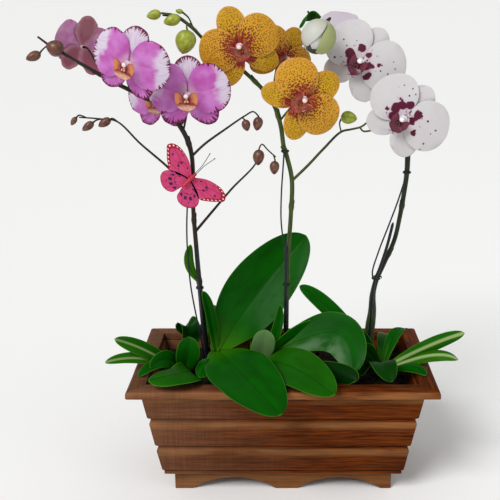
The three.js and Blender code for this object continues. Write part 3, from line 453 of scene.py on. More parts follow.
def toned(layout, colour, tone):
    """The colour made lighter or darker by the tone, which is 0 where it stays."""
    inputs = {"Color": colour, "Value": layout.math("ADD", tone, 1.0)}
    return layout.node("ShaderNodeHueSaturation", inputs).outputs[0]


# Petal materials. Distances in them are millimetres from the bloom's middle or from the petal's edge.
PETAL_SHADE = -0.18


def from_middle(layout, along_it, across_it):
    squares = [layout.times(value, value) for value in (along_it, across_it)]
    return layout.math("SQRT", layout.math("ADD", *squares))


def petal_mask(layout, kind):
    """1 on the two petals and 0 on the three sepals."""
    return layout.times(layout.mask(kind, 0.4, 0.6), layout.mask(kind, 1.6, 1.4))


def pink_petal(layout):
    """Lilac petals that pale towards their ends, with a ragged dark edge; the sepals differ a little."""
    share, s, t, face = layout.marks("share")
    plan, along_it, across_it, seed = layout.marks("plan")
    _, edge, round_edge, kind = layout.marks("margin")
    is_petal = petal_mask(layout, kind)
    is_low = layout.mask(kind, 1.4, 1.6)
    apart = layout.times_plus(seed, 7.3, layout.times(layout.mask(t, -0.01, 0.01), 3.7))
    clouds = layout.noise(layout.scaled(along_it, 0.06, across_it, 0.06, apart), 1.0, 2.0, 0.45)
    streaks = layout.noise(layout.scaled(s, 2.2, t, 8.0, seed), 1.0, 3.0)
    spread = layout.times(across_it, across_it)
    reach = layout.times_plus(spread, layout.times(is_petal, -0.009), along_it)
    reach = layout.times_plus(clouds, 22.0, layout.math("ADD", reach, -11.0))
    reach = layout.times_plus(streaks, 7.0, reach)
    pale_from = layout.times_plus(is_petal, 19.0, layout.times_plus(is_low, 44.0, 18.0))
    pale = layout.mask(layout.math("SUBTRACT", reach, pale_from), -4.0, 6.0)
    middle = from_middle(layout, along_it, across_it)
    heart = layout.mask(layout.times_plus(streaks, 6.0, middle), 19.0, 8.0)
    veins = layout.group(VEINS, Share=share, Count=40.0)["Veins"]
    deep = layout.mix(layout.mask(clouds, 0.3, 0.7), srgb(190, 86, 176), srgb(210, 132, 208))
    deep = layout.tint(deep, srgb(166, 60, 146), veins, 0.3)
    colour = layout.mix(pale, deep, srgb(222, 210, 228))
    lilac = layout.times(layout.mask(streaks, 0.45, 0.7), 0.5)
    colour = layout.mix(layout.times(lilac, pale), colour, srgb(206, 158, 204))
    colour = layout.tint(colour, srgb(226, 190, 212), heart, 0.8)
    teeth = layout.noise(layout.vector(layout.times(round_edge, 0.34), seed, 0.0), 1.0, 3.0, 0.7)
    shores = layout.noise(layout.vector(layout.times(round_edge, 0.04), seed, 7.0), 1.0, 1.0)
    outer = layout.times(layout.mask(shores, 0.36, 0.6), layout.mask(s, 0.3, 0.6))
    tip = layout.times(layout.mask(s, 0.66, 0.9), layout.mask(is_petal, 0.6, 0.4))
    longest = layout.times_plus(tip, 9.0, layout.times_plus(outer, 13.0, 1.0))
    points = layout.times(layout.mask(teeth, 0.4, 0.74), longest)
    least = layout.times_plus(tip, 1.2, layout.times(layout.mask(s, 0.3, 0.5), 0.7))
    depth = layout.math("ADD", points, least)
    feather = layout.mask(layout.math("SUBTRACT", depth, edge), -0.2, 1.4)
    feather = layout.times(feather, layout.mask(s, 0.26, 0.4))
    colour = layout.mix(feather, colour, srgb(104, 10, 56))
    behind = layout.mask(face, 0.0, -0.2)
    rose = layout.mix(layout.mask(layout.times_plus(clouds, 10.0, edge), 4.0, 14.0),
                      srgb(204, 148, 160), srgb(166, 92, 104))
    pinkish = layout.mix(layout.mask(clouds, 0.35, 0.65), srgb(232, 172, 216), srgb(214, 134, 194))
    back = layout.mix(is_petal, rose, pinkish)
    colour = layout.mix(layout.times(behind, 0.9), colour, back)
    relief = layout.times_plus(veins, -0.6, layout.noise(plan, 0.9, 2.0))
    return toned(layout, colour, PETAL_SHADE), relief


def gold_petal(layout):
    """Golden petals with a net of small brown dots that grow to crimson about the middle."""
    share, s, t, face = layout.marks("share")
    plan, along_it, across_it, seed = layout.marks("plan")
    _, edge, _, kind = layout.marks("margin")
    is_petal = petal_mask(layout, kind)
    low_sepal = layout.mask(kind, 1.4, 1.6)
    clouds = layout.noise(layout.scaled(along_it, 0.06, across_it, 0.06, seed), 1.0, 3.0)
    yellow = layout.mix(is_petal, srgb(202, 158, 14), srgb(212, 156, 34))
    rim = layout.times(layout.mask(edge, 7.0, 0.5), 0.5)
    yellow = layout.mix(rim, yellow, srgb(220, 158, 66))
    yellow = toned(layout, yellow, layout.times_plus(clouds, 0.3, -0.15))
    blur = layout.noise(layout.scaled(along_it, 0.3, across_it, 0.3, seed), 1.0, 3.0)
    middle = from_middle(layout, along_it, across_it)
    near = layout.times_plus(blur, 14.0, layout.math("ADD", middle, -7.0))
    across_cells = layout.times(t, layout.times_plus(is_petal, 4.0, 6.0))
    rows = layout.vector(layout.times(along_it, 0.36), across_cells, seed)
    size = layout.times_plus(layout.mask(near, 30.0, 12.0), 0.26, 0.32)
    dots = layout.group(SPOTS, Vector=rows, Radius=size, Scatter=0.7, Share_kept=0.98)["Mask"]
    dot_colour = layout.mix(layout.mask(near, 14.0, 34.0), srgb(120, 10, 18), srgb(138, 74, 16))
    strength = layout.times_plus(layout.mask(near, 50.0, 20.0), 0.25, 0.7)
    strength = layout.times(strength, layout.mask(edge, 0.3, 2.0))
    colour = layout.mix(layout.times(dots, strength), yellow, dot_colour)
    flush = layout.mask(near, 26.0, 10.0)
    colour = layout.tint(colour, srgb(176, 62, 24), flush, 0.2)
    pool_reach = layout.times_plus(low_sepal, 13.0, 11.0)
    pool = layout.mask(layout.math("SUBTRACT", near, pool_reach), 3.0, -3.0)
    glints = layout.mask(layout.noise(layout.scaled(s, 7.0, t, 12.0, seed), 1.0, 2.0), 0.54, 0.64)
    crimson = layout.mix(layout.times(glints, 0.7), srgb(134, 12, 22), srgb(214, 136, 60))
    colour = layout.mix(pool, colour, crimson)
    behind = layout.mask(face, 0.0, -0.2)
    colour = layout.tint(colour, srgb(184, 146, 44), behind, 0.6)
    veins = layout.group(VEINS, Share=share, Count=30.0)["Veins"]
    relief = layout.times_plus(veins, -0.7, layout.noise(plan, 0.9, 2.0))
    return toned(layout, colour, PETAL_SHADE), relief


def white_petal(blotched):
    """White petals, with rounded dark blotches about the middle and stray dots if they are blotched."""

    def colour_from(layout):
        share, _, _, face = layout.marks("share")
        _, along_it, across_it, seed = layout.marks("plan")
        *_, kind = layout.marks("margin")
        is_petal = petal_mask(layout, kind)
        place = layout.vector(along_it, across_it, layout.times(seed, 13.0))
        slow = layout.noise(place, 0.05, 2.0)
        veins = layout.group(VEINS, Share=share, Count=30.0)["Veins"]
        white = layout.mix(slow, srgb(214, 213, 210), srgb(206, 201, 208))
        white = layout.tint(white, srgb(190, 178, 190), veins, 0.16)
        middle = from_middle(layout, along_it, across_it)
        flush = layout.times(layout.mask(middle, 24.0, 5.0), 0.4)
        white = layout.mix(flush, white, srgb(216, 190, 206))
        relief = layout.times(veins, -0.7)
        if not blotched:
            tint = layout.mix(layout.mask(kind, 0.6, 0.4), srgb(214, 202, 218), srgb(216, 186, 206))
            tint = layout.tint(tint, srgb(190, 150, 180), veins, 0.35)
            return toned(layout, layout.mix(0.7, white, tint), PETAL_SHADE), relief
        warp = layout.node("ShaderNodeTexNoise", {"Vector": place, "Scale": 0.16, "Detail": 1.0})
        bent = layout.add(place, layout.stretch(warp.outputs[1], (7.0, 7.0, 0.0)))
        cells = layout.node("ShaderNodeTexVoronoi", {
            "Vector": bent, "Scale": 0.1, "Randomness": 0.9, "Smoothness": 0.35,
        }, feature="SMOOTH_F1")
        band = layout.times(layout.mask(middle, 5.0, 10.0), layout.mask(middle, 27.0, 19.0))
        band = layout.times(band, is_petal)
        radius = layout.times_plus(band, 0.55, -0.02)
        inside = layout.math("SUBTRACT", radius, cells.outputs["Distance"])
        blotch = layout.mask(inside, 0.0, 0.04)
        blush = layout.mask(inside, -0.08, 0.01)
        clusters = layout.mask(layout.noise(place, 0.06, 1.0), 0.48, 0.54)
        ring = layout.times(layout.mask(middle, 19.0, 23.0), layout.mask(middle, 46.0, 38.0))
        dots = layout.group(
            SPOTS, Vector=layout.stretch(place, (0.15, 0.15, 1.0)), Radius=0.2, Scatter=1.0, Share_kept=0.4,
        )["Mask"]
        dots = layout.times(dots, layout.times(clusters, is_petal))
        dots = layout.times(dots, ring)
        near_root = layout.times(layout.mask(middle, 13.0, 8.0), layout.mask(kind, 1.6, 1.4))
        root_spots = layout.group(
            SPOTS, Vector=layout.stretch(place, (0.3, 0.3, 1.0)), Radius=0.34, Scatter=1.0, Share_kept=0.5,
        )["Mask"]
        root_spots = layout.times(root_spots, near_root)
        colour = layout.tint(white, srgb(178, 84, 134), blush, 0.5)
        ink = layout.math("MAXIMUM", blotch, layout.math("MAXIMUM", dots, root_spots))
        behind = layout.mask(face, -0.1, 0.1)
        colour = layout.mix(layout.times(ink, behind), colour, srgb(86, 2, 42))
        return toned(layout, colour, PETAL_SHADE), relief

    return colour_from


def cream_petal(layout):
    share, s, *_ = layout.marks("share")
    plan, *_ = layout.marks("plan")
    *_, kind = layout.marks("margin")
    veins = layout.group(VEINS, Share=share, Count=26.0)["Veins"]
    green = layout.mask(layout.times_plus(layout.noise(plan, 0.06), 0.5, s), 0.95, 0.3)
    outer = layout.mix(layout.times(green, 0.5), srgb(208, 208, 200), srgb(178, 184, 124))
    outer = layout.tint(outer, srgb(158, 170, 84), kind, 0.8)
    colour = layout.tint(outer, srgb(170, 178, 128), veins, 0.2)
    relief = layout.times_plus(veins, -0.6, layout.noise(plan, 0.9, 2.0))
    return toned(layout, colour, PETAL_SHADE), relief


def lip_finish(side_colour, heart_colour, front_colour, ink_colour, inked):
    """Lip lobes: kind 1 is a side lobe, 2 the middle lobe, 3 the callus and the foot."""

    def colour_from(layout):
        share, s, *_ = layout.marks("share")
        plan, *_ = layout.marks("plan")
        _, edge, _, kind = layout.marks("margin")
        blur = layout.noise(plan, 0.35, 3.0)
        reach = layout.times_plus(blur, 0.5, layout.math("ADD", s, -0.25))
        heart = layout.mask(reach, 0.66, 0.2)
        lobe = layout.mix(layout.mask(kind, 1.4, 1.6), side_colour, front_colour)
        rim = layout.times(layout.mask(edge, 1.5, 0.3), layout.mask(kind, 1.6, 1.4))
        lobe = layout.mix(layout.times(rim, 0.6), lobe, ink_colour)
        colour = layout.mix(heart, lobe, heart_colour)
        streaks = layout.group(VEINS, Share=share, Count=12.0)["Veins"]
        marks = layout.times(streaks, layout.mask(reach, 0.85, 0.2))
        blots = layout.mask(layout.noise(plan, 0.42, 2.0), 0.5, 0.56)
        marks = layout.math("MAXIMUM", marks, layout.times(blots, inked))
        colour = layout.mix(layout.times(marks, 0.85), colour, ink_colour)
        return colour, layout.noise(plan, 0.8, 2.0)

    return colour_from


def column_finish(pale, blush):
    def colour_from(layout):
        plan, *_ = layout.marks("plan")
        flushed = layout.mask(layout.noise(plan, 0.3, 2.0), 0.42, 0.62)
        return layout.mix(flushed, pale, blush), layout.noise(plan, 0.8, 2.0)

    return colour_from


# Stem, bud and leaf materials
def stem_finish(dark, light, streak, foot):
    """A stem with slow changes of colour, fine lengthwise lines and its lowest part in another."""

    def colour_from(layout):
        _, along_it, round_it, seed = layout.marks("plan")
        slow = layout.noise(layout.vector(layout.times(along_it, 0.035), round_it, seed), 1.0, 3.0)
        lines = layout.noise(layout.scaled(along_it, 0.05, round_it, 2.2, seed), 1.0, 2.0)
        colour = layout.mix(layout.mask(slow, 0.38, 0.68), dark, light)
        low = layout.times(layout.mask(along_it, 130.0, 100.0), layout.mask(seed, 2.0, 1.5))
        colour = layout.mix(layout.times(low, layout.mask(lines, 0.35, 0.6)), colour, foot)
        colour = layout.mix(layout.times(layout.mask(lines, 0.5, 0.7), 0.35), colour, streak)
        return colour, lines

    return colour_from


def bud_finish(base, warm, seam):
    def colour_from(layout):
        _, s, round_it, _ = layout.marks("share")
        plan, *_ = layout.marks("plan")
        blur = layout.noise(plan, 0.16, 3.0)
        colour = layout.mix(layout.mask(blur, 0.35, 0.65), base, warm)
        wave = layout.math("COSINE", layout.times(round_it, 3 * math.pi))
        line = layout.mask(layout.math("ABSOLUTE", wave), 0.93, 1.0)
        colour = layout.mix(layout.times(line, 0.5), colour, seam)
        colour = layout.mix(layout.times(layout.mask(s, 0.25, 0.0), 0.6), colour, seam)
        return colour, layout.noise(plan, 0.5, 3.0)

    return colour_from


def leaf_finish(layout):
    """Dark green leaves. A leaf's mark is 0 on an old leaf and up to 1 on a new one, 1.5 on a leaf gone pale,
    2 on one painted nearly black as shade low in the clump and -0.5 on one with a painted grey sheen."""
    _, s, t, face = layout.marks("share")
    plan, _, across_it, seed = layout.marks("plan")
    _, edge, _, youth_and_painted_light = layout.marks("margin")
    slow = layout.noise(layout.stretch(plan, (0.02, 0.05, 1.0)), 1.0, 3.0)
    lines = layout.noise(layout.scaled(s, 2.0, t, 30.0, seed), 1.0, 2.0)
    old = layout.mix(layout.mask(slow, 0.3, 0.7), srgb(0, 56, 0), srgb(2, 80, 0))
    young = layout.mix(slow, srgb(60, 120, 8), srgb(100, 156, 26))
    new = layout.times(layout.math("MAXIMUM", youth_and_painted_light, 0.0), layout.mask(youth_and_painted_light, 1.2, 1.05))
    colour = layout.mix(new, old, young)
    # Painted light: one half of each leaf, the half its width's way points to, is made a little lighter
    # green.
    half = layout.mask(layout.times_plus(slow, 0.8, t), -0.2, 0.9)
    colour = layout.tint(colour, srgb(6, 92, 0), half, 0.3)
    streaks = layout.times(layout.mask(lines, 0.45, 0.7), 0.22)
    colour = layout.mix(streaks, colour, srgb(8, 90, 1))
    heart = layout.mask(s, 0.34, 0.0)
    colour = layout.tint(colour, srgb(70, 128, 10), heart, 0.6)
    midrib = layout.mask(layout.math("ABSOLUTE", across_it), 1.5, 0.5)
    pale_rib = layout.mask(layout.math("ABSOLUTE", across_it), 2.6, 0.6)
    narrow = layout.times(layout.mask(youth_and_painted_light, 0.12, 0.15), layout.mask(youth_and_painted_light, 0.5, 0.3))
    colour = layout.tint(colour, srgb(2, 46, 0), midrib, 0.5)
    stripe = layout.times(layout.times(pale_rib, narrow), 0.8)
    colour = layout.mix(stripe, colour, srgb(150, 172, 110))
    # Painted sheen: a grey highlight painted on one half of the leaf marked -0.5.
    sheen = layout.times(layout.mask(youth_and_painted_light, -0.1, -0.3), layout.mask(slow, 0.3, 0.62))
    sheen = layout.times(sheen, layout.mask(t, -0.1, 0.7))
    colour = layout.tint(colour, srgb(120, 144, 116), sheen, 0.55)
    faded = layout.times(layout.mask(youth_and_painted_light, 1.1, 1.3), layout.mask(youth_and_painted_light, 1.8, 1.7))
    colour = layout.tint(colour, srgb(126, 152, 104), faded, 0.6)
    # Painted shade: a leaf marked 2, low in the clump, is made nearly black.
    shaded = layout.times(layout.mask(youth_and_painted_light, 1.7, 1.8), 0.8)
    colour = layout.mix(shaded, colour, srgb(2, 20, 1))
    rim = layout.mask(edge, 1.1, 0.2)
    colour = layout.tint(colour, srgb(96, 146, 40), rim, 0.5)
    below = layout.mask(face, 0.1, -0.1)
    colour = layout.tint(colour, srgb(14, 76, 4), below, 0.3)
    dust = layout.mask(layout.noise(plan, 0.12, 4.0), 0.5, 0.8)
    rough = layout.times_plus(dust, 0.2, 0.34)
    relief = layout.times_plus(midrib, -1.2, layout.times(lines, 0.8))
    return colour, relief, rough


# Wood, bark, support and butterfly materials
def wood_finish(layout):
    plan, *_ = layout.marks("plan")
    _, nose, _, tone = layout.marks("margin")
    grain = layout.group(GRAIN, Plan=plan)
    base = layout.mix(grain["Bands"], srgb(112, 52, 8), srgb(56, 18, 1))
    base = layout.tint(base, srgb(34, 11, 2), grain["Pores"], 0.6)
    base = layout.tint(base, srgb(30, 12, 5), grain["Knots"], 0.8)
    base = toned(layout, base, layout.times_plus(grain["Stain"], 0.9, -0.45))
    spot = layout.node("ShaderNodeTexCoord").outputs["Object"]
    place = layout.node("ShaderNodeSeparateXYZ", {0: spot}).outputs[0]
    # Painted light: the boards turn paler and greyer towards the planter's left, where the light comes from,
    # with saw marks in it.
    painted_light_on_left = layout.mask(layout.times_plus(grain["Stain"], -0.16, place), 0.02, -0.26)
    saw = layout.mask(layout.noise(layout.stretch(plan, (0.5, 0.012, 0.012)), 1.0, 2.0), 0.4, 0.7)
    grey = layout.mix(layout.times(saw, 0.5), srgb(112, 78, 56), srgb(136, 104, 80))
    base = layout.mix(layout.times(painted_light_on_left, 0.62), base, grey)
    worn = layout.times(layout.mask(nose, 1.8, 0.4), layout.mask(grain["Stain"], 0.3, 0.6))
    base = layout.tint(base, srgb(164, 116, 72), worn, 0.4)
    base = toned(layout, base, tone)
    relief = layout.times_plus(grain["Pores"], -1.2, layout.times(grain["Bands"], -0.5))
    relief = layout.times_plus(grain["Knots"], -0.8, relief)
    rough = layout.times_plus(grain["Stain"], 0.2, 0.42)
    return base, relief, rough


def bark_finish(layout):
    *_, seed = layout.marks("plan")
    spot = layout.node("ShaderNodeTexCoord").outputs["Object"]
    rough_tone = layout.noise(spot, 260.0, 4.0, 0.7)
    chip = layout.noise(layout.vector(seed, 0.0, 0.0), 1.0, 1.0)
    # The bark's own dark brown is made nearly black: painted shade for the gaps between the leaves.
    colour = layout.mix(layout.mask(rough_tone, 0.35, 0.7), srgb(12, 9, 6), srgb(46, 34, 22))
    colour = toned(layout, colour, layout.times_plus(chip, 1.4, -0.7))
    moss = layout.mask(layout.noise(spot, 22.0, 3.0), 0.5, 0.6)
    colour = layout.tint(colour, srgb(14, 34, 8), moss, 0.6)
    return colour, rough_tone


def coated_wire(layout):
    plan, *_ = layout.marks("plan")
    worn = layout.mask(layout.noise(layout.stretch(plan, (0.06, 0.4, 1.0)), 1.0, 3.0), 0.55, 0.75)
    colour = layout.mix(layout.times(worn, 0.4), srgb(14, 20, 28), srgb(60, 66, 60))
    return colour, layout.noise(plan, 1.2, 2.0)


def wing_finish(layout):
    """Pink wings: dark veins, dark spots and a red border, which is wide at the ends of the fore wings
    and has a row of pale dots there. The fore wing's number is 3 and the hind wing's 6."""
    _, s, u, _ = layout.marks("share")
    plan, x, _, wing_number = layout.marks("plan")
    _, edge, round_edge, _ = layout.marks("margin")
    fore = layout.mask(wing_number, 5.0, 4.0)
    pink = layout.mix(layout.noise(plan, 0.1, 3.0), srgb(172, 28, 78), srgb(204, 76, 124))
    wave = layout.math("SINE", layout.times(u, 9 * math.pi))
    vein = layout.mask(layout.math("ABSOLUTE", wave), 0.2, 0.06)
    inner = layout.mask(layout.math("ABSOLUTE", layout.math("SUBTRACT", s, 0.5)), 0.03, 0.01)
    lines = layout.times(layout.math("MAXIMUM", vein, inner), layout.mask(s, 0.12, 0.3))
    colour = layout.tint(pink, srgb(116, 10, 52), lines, 0.7)
    reach = layout.times(layout.mask(x, 24.0, 32.0), fore)
    width = layout.times_plus(reach, 5.4, 0.8)
    border = layout.mask(layout.math("SUBTRACT", width, edge), -0.3, 0.4)
    colour = layout.mix(border, colour, srgb(150, 10, 30))
    bead = layout.mask(layout.math("SINE", layout.times(round_edge, 1.25)), 0.3, 0.7)
    row = layout.mask(layout.math("ABSOLUTE", layout.math("SUBTRACT", edge, 2.6)), 1.3, 0.7)
    bead = layout.times(layout.times(bead, row), reach)
    colour = layout.mix(bead, colour, srgb(250, 218, 228))
    hind = layout.mask(wing_number, 4.0, 5.0)
    ring = layout.times(layout.mask(s, 0.56, 0.6), layout.mask(s, 0.74, 0.7))
    dashes = layout.mask(layout.math("ABSOLUTE", wave), 0.5, 0.8)
    dashes = layout.times(layout.times(dashes, ring), hind)
    navy = layout.group(
        SPOTS, Vector=layout.stretch(plan, (0.13, 0.13, 1.0)), Radius=0.2, Scatter=0.9, Share_kept=0.45,
    )["Mask"]
    navy = layout.times(navy, layout.mask(edge, 6.0, 7.5))
    colour = layout.mix(layout.math("MAXIMUM", navy, dashes), colour, srgb(52, 18, 70))
    return colour, layout.noise(plan, 1.0, 2.0)


def torso_finish(layout):
    _, s, *_ = layout.marks("share")
    bands = layout.math("SINE", layout.times(s, 52.0))
    return layout.mix(layout.mask(bands, 0.2, 0.8), srgb(214, 42, 66), srgb(120, 10, 30)), bands


SOFT_GLOW = {"Subsurface_Weight": 0.1, "Subsurface_Scale": 0.003, "Specular_IOR_Level": 0.25}
PETALS = {
    "pink": material_of("Pink petal", pink_petal, 0.55, 0.25, **SOFT_GLOW),
    "gold": material_of("Golden petal", gold_petal, 0.5, 0.25, **SOFT_GLOW),
    "white": material_of("White petal", white_petal(True), 0.55, 0.2, **SOFT_GLOW),
    "plain white": material_of("Unmarked white petal", white_petal(False), 0.55, 0.2, **SOFT_GLOW),
    "cream": material_of("Opening bloom", cream_petal, 0.42, 0.2, **SOFT_GLOW),
}
LIPS = {
    kind: material_of(name, lip_finish(*srgbs(colours), inked), 0.4, 0.2, Coat_Weight=0.1)
    for kind, name, colours, inked in (
        ("pink", "Orange lip", [(206, 122, 74), (116, 18, 12), (216, 166, 136), (158, 46, 34)], 0.3),
        ("gold", "Red lip", [(128, 12, 22), (86, 4, 12), (136, 14, 22), (204, 130, 52)], 0.3),
        ("white", "Purple lip", [(104, 8, 46), (74, 2, 30), (94, 6, 42), (60, 2, 26)], 0.6),
    )
}
COLUMNS = {
    kind: material_of(name, column_finish(*srgbs(colours)), 0.4, 0.1)
    for kind, name, colours in (
        ("pink", "Pink column", [(240, 220, 226), (216, 150, 180)]),
        ("gold", "Rosy column", [(240, 216, 212), (206, 130, 150)]),
        ("white", "White column", [(244, 240, 240), (222, 200, 214)]),
    )
}
STEMS = {
    kind: material_of(name, stem_finish(*srgbs(colours)), 0.42, 0.25, Specular_IOR_Level=0.25)
    for kind, name, colours in (
        ("pink", "Dark brown stem", [(22, 20, 14), (50, 38, 24), (76, 66, 44), (40, 44, 38)]),
        ("gold", "Olive stem", [(34, 50, 16), (78, 98, 30), (24, 34, 14), (48, 66, 22)]),
        ("white", "Dark green stem", [(12, 20, 10), (38, 52, 20), (74, 86, 44), (58, 76, 22)]),
    )
}
BUDS = {
    kind: material_of(name, bud_finish(*srgbs(colours)), 0.4, 0.15)
    for kind, name, colours in (
        ("pink", "Brown bud", [(86, 38, 38), (112, 74, 44), (50, 24, 24)]),
        ("gold", "Green bud", [(128, 144, 34), (168, 172, 56), (92, 110, 24)]),
    )
}
LEAF = material_of("Leaf", leaf_finish, 0.4, 0.22, Specular_IOR_Level=0.05)
WOOD = material_of("Stained wood", wood_finish, 0.5, 0.5, 0.0006, Specular_IOR_Level=0.05)
BARK = material_of("Potting bark", bark_finish, 0.85, 0.8, 0.002, Specular_IOR_Level=0.1)
COATING = material_of("Coated wire", coated_wire, 0.34, 0.1, Specular_IOR_Level=0.3)
WING = material_of("Butterfly wing", wing_finish, 0.55, 0.15, Specular_IOR_Level=0.2)
TORSO = material_of("Butterfly body", torso_finish, 0.4, 0.5)


# Planter boards: copies of the frame's own boards with rounded edges and a slightly uneven face
OUTWARD = {
    "front": v(0, -1, 0), "back": v(0, 1, 0), "left": v(-1, 0, 0), "right": v(1, 0, 0), "panel": v(0, 0, -1),
}


def add_board(node, name, tone, seed):
    lengthwise = node.endswith(("_front", "_back", "_panel"))
    low, high = (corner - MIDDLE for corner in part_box(node))
    low, high = low / MM, high / MM
    piece = Piece()
    mesh = piece.mesh
    source = bpy.data.meshes.new("board copy")
    copy = bmesh.new()
    copy.from_mesh(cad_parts[node].data)
    bmesh.ops.remove_doubles(copy, verts=copy.verts[:], dist=1e-5)
    bmesh.ops.transform(copy, matrix=TO_FRAME.inverted(), verts=copy.verts[:])
    copy.to_mesh(source)
    copy.free()
    mesh.from_mesh(source)
    bpy.data.meshes.remove(source)
    bmesh.ops.dissolve_limit(mesh, angle_limit=0.02, verts=mesh.verts[:], edges=mesh.edges[:])
    bmesh.ops.bevel(
        mesh, geom=mesh.edges[:], offset=EDGE_ROUNDING, affect="EDGES", segments=2, profile=0.5,
        material=-1, clamp_overlap=True,
    )
    start, end = (low.x, high.x) if lengthwise else (low.y, high.y)
    direction = v(1, 0, 0) if lengthwise else v(0, 1, 0)
    cuts = int((end - start) / BOARD_SLICE)
    for k in range(1, cuts):
        bmesh.ops.bisect_plane(
            mesh, geom=mesh.verts[:] + mesh.edges[:] + mesh.faces[:], dist=1e-4,
            plane_co=direction * (start + (end - start) * k / cuts), plane_no=direction,
        )
    outward = OUTWARD[node.rsplit("_", 1)[1]]
    outer = max(outward.dot(low), outward.dot(high))
    for vertex in mesh.verts:
        p = vertex.co.copy()
        inset = outer - outward.dot(p)
        own = v(p.x, p.y, p.z) if lengthwise else v(p.y, p.x, p.z)
        vertex.co = p + outward * (0.5 * noise.noise(v(p.x * 0.03, p.y * 0.03, p.z * 0.06) + v(seed, 0, 0)))
        if node.startswith("board") and high.z - p.z < EDGE_ROUNDING:
            vertex.co.z += SEAM_CLOSING
        piece.mark(vertex, (0, 0, 0), own + v(seed * 517, seed * 91, seed * 37), (inset, 0, tone))
    for face in mesh.faces:
        face.smooth = True
    piece.finish(name, [WOOD], [node], sharp=40)


BOARD_TONES = {"rim": 0.12, "board_top": 0.05, "board_middle": 0.0, "board_bottom": -0.04, "skirt": -0.14}
# Painted shade: the short rims at the left and right are made darker than the rest.
SHORT_RIM_PAINTED_SHADE = -0.22


def add_planter():
    tones = random.Random(5)
    for side in ("front", "back", "left", "right"):
        for part, own_tone in BOARD_TONES.items():
            node = f"{part}_{side}"
            # Painted shade on the short rims at the sides
            shade = SHORT_RIM_PAINTED_SHADE if side in ("left", "right") and part == "rim" else 0
            tone = own_tone + shade + tones.uniform(-0.07, 0.07)
            add_board(node, f"{node}_wood", tone, tones.uniform(0, 9))
    add_board("floor_panel", "floor_panel_wood", -0.05, tones.uniform(0, 9))


# Potting bark: a rough bed with loose chips lying on it
CHIP_COUNT = 620


def wall_half_width(z):
    return WALL_HALF_WIDTH + WALL_TAPER * (z - WALL_FOOT)


def wall_half_depth(z):
    return WALL_HALF_DEPTH + WALL_TAPER * (z - WALL_FOOT)


def bark_height(x, y):
    broad = 3 * noise.noise(v(x * 0.035, y * 0.035, 3))
    return BARK_TOP - 1.5 + broad + 1.5 * noise.noise(v(x * 0.12, y * 0.12, 8))


def add_bark():
    piece = Piece()
    clearance = WALL_THICKNESS + 0.6
    half_width = wall_half_width(BARK_TOP) - clearance
    half_depth = wall_half_depth(BARK_TOP) - clearance
    foot_share_x = (wall_half_width(WALL_BOTTOM) - clearance) / half_width
    foot_share_y = (wall_half_depth(WALL_BOTTOM) - clearance) / half_depth

    def bed(s, u):
        x, y = half_width * (2 * s - 1), half_depth * (2 * u - 1)
        return v(x, y, bark_height(x, y)), (s, u, 0), (x, y, 0.5), (0, 0, 0)

    def foot(s, u):
        x, y = half_width * foot_share_x * (2 * s - 1), half_depth * foot_share_y * (2 * u - 1)
        return v(x, y, WALL_BOTTOM + 0.4), (s, u, 0), (x, y, 0.5), (0, 0, 0)

    top = piece.grid(72, 34, bed, closed=False)
    bottom = piece.grid(72, 34, foot, closed=False)
    rims = []
    for corners in (top, bottom):
        rims += {edge for corner in corners for edge in corner.link_edges if edge.is_boundary}
    bmesh.ops.bridge_loops(piece.mesh, edges=rims)
    draw = random.Random(11)
    layers = piece.mesh.verts.layers.float_vector
    for _ in range(CHIP_COUNT):
        x = draw.uniform(-half_width + 9, half_width - 9)
        y = draw.uniform(-half_depth + 9, half_depth - 9)
        length = draw.uniform(5, 11)
        size = Matrix.Diagonal((length, length * draw.uniform(0.4, 0.7), length * draw.uniform(0.16, 0.3), 1))
        turn = spin(v(0, 0, 1), draw.uniform(0, 360)) @ spin(v(1, 0, 0), draw.uniform(-28, 28))
        seat = Matrix.Translation(v(x, y, bark_height(x, y) + draw.uniform(0, 2)))
        chip = bmesh.ops.create_icosphere(
            piece.mesh, subdivisions=1, radius=1, matrix=seat @ turn.to_matrix().to_4x4() @ size,
        )["verts"]
        seed = draw.uniform(0, 40)
        for corner in chip:
            bump = noise.noise(corner.co * 0.5 + v(seed, 0, 0))
            corner.co += (corner.co - v(x, y, BARK_TOP)) * (0.22 * bump)
            corner[layers["plan"]] = (x, y, seed)
    piece.finish("potting_bark", [BARK], ["bark_medium"], sharp=30)


# Blooms. Each one's own frame has X to its right, Y towards its top sepal and Z the way it faces.
def outline(s, peak, neck, fullness=1):
    """Share of its full width that a blade has at s: a neck, a swell to its peak and a round end.
    The swell is even where fullness is 1, and comes sooner where it is less."""
    if s < peak:
        return neck + (1 - neck) * math.sin(math.pi / 2 * (max(s, 0) / peak) ** fullness)
    past = min((s - peak) / (1 - peak), 1)
    return math.sqrt(max(1 - past**2.2, 0.0004))


BLOOM_FORMS = {
    "pink": {
        "top": (45, 18.5), "side": (45, 16, 136), "petal": (51, 31, 28), "angle": 14, "lip_spread": 1.35,
        "ruffle": 1.5,
    },
    "gold": {
        "top": (48, 17.5), "side": (50, 15.5, 137), "petal": (49, 27, 24), "angle": 11, "lip_spread": 1,
        "ruffle": 0.8,
    },
    "white": {
        "top": (46, 17), "side": (46, 17, 139), "petal": (53, 32, 28), "angle": 20, "lip_spread": 1,
        "ruffle": 1.4,
    },
}
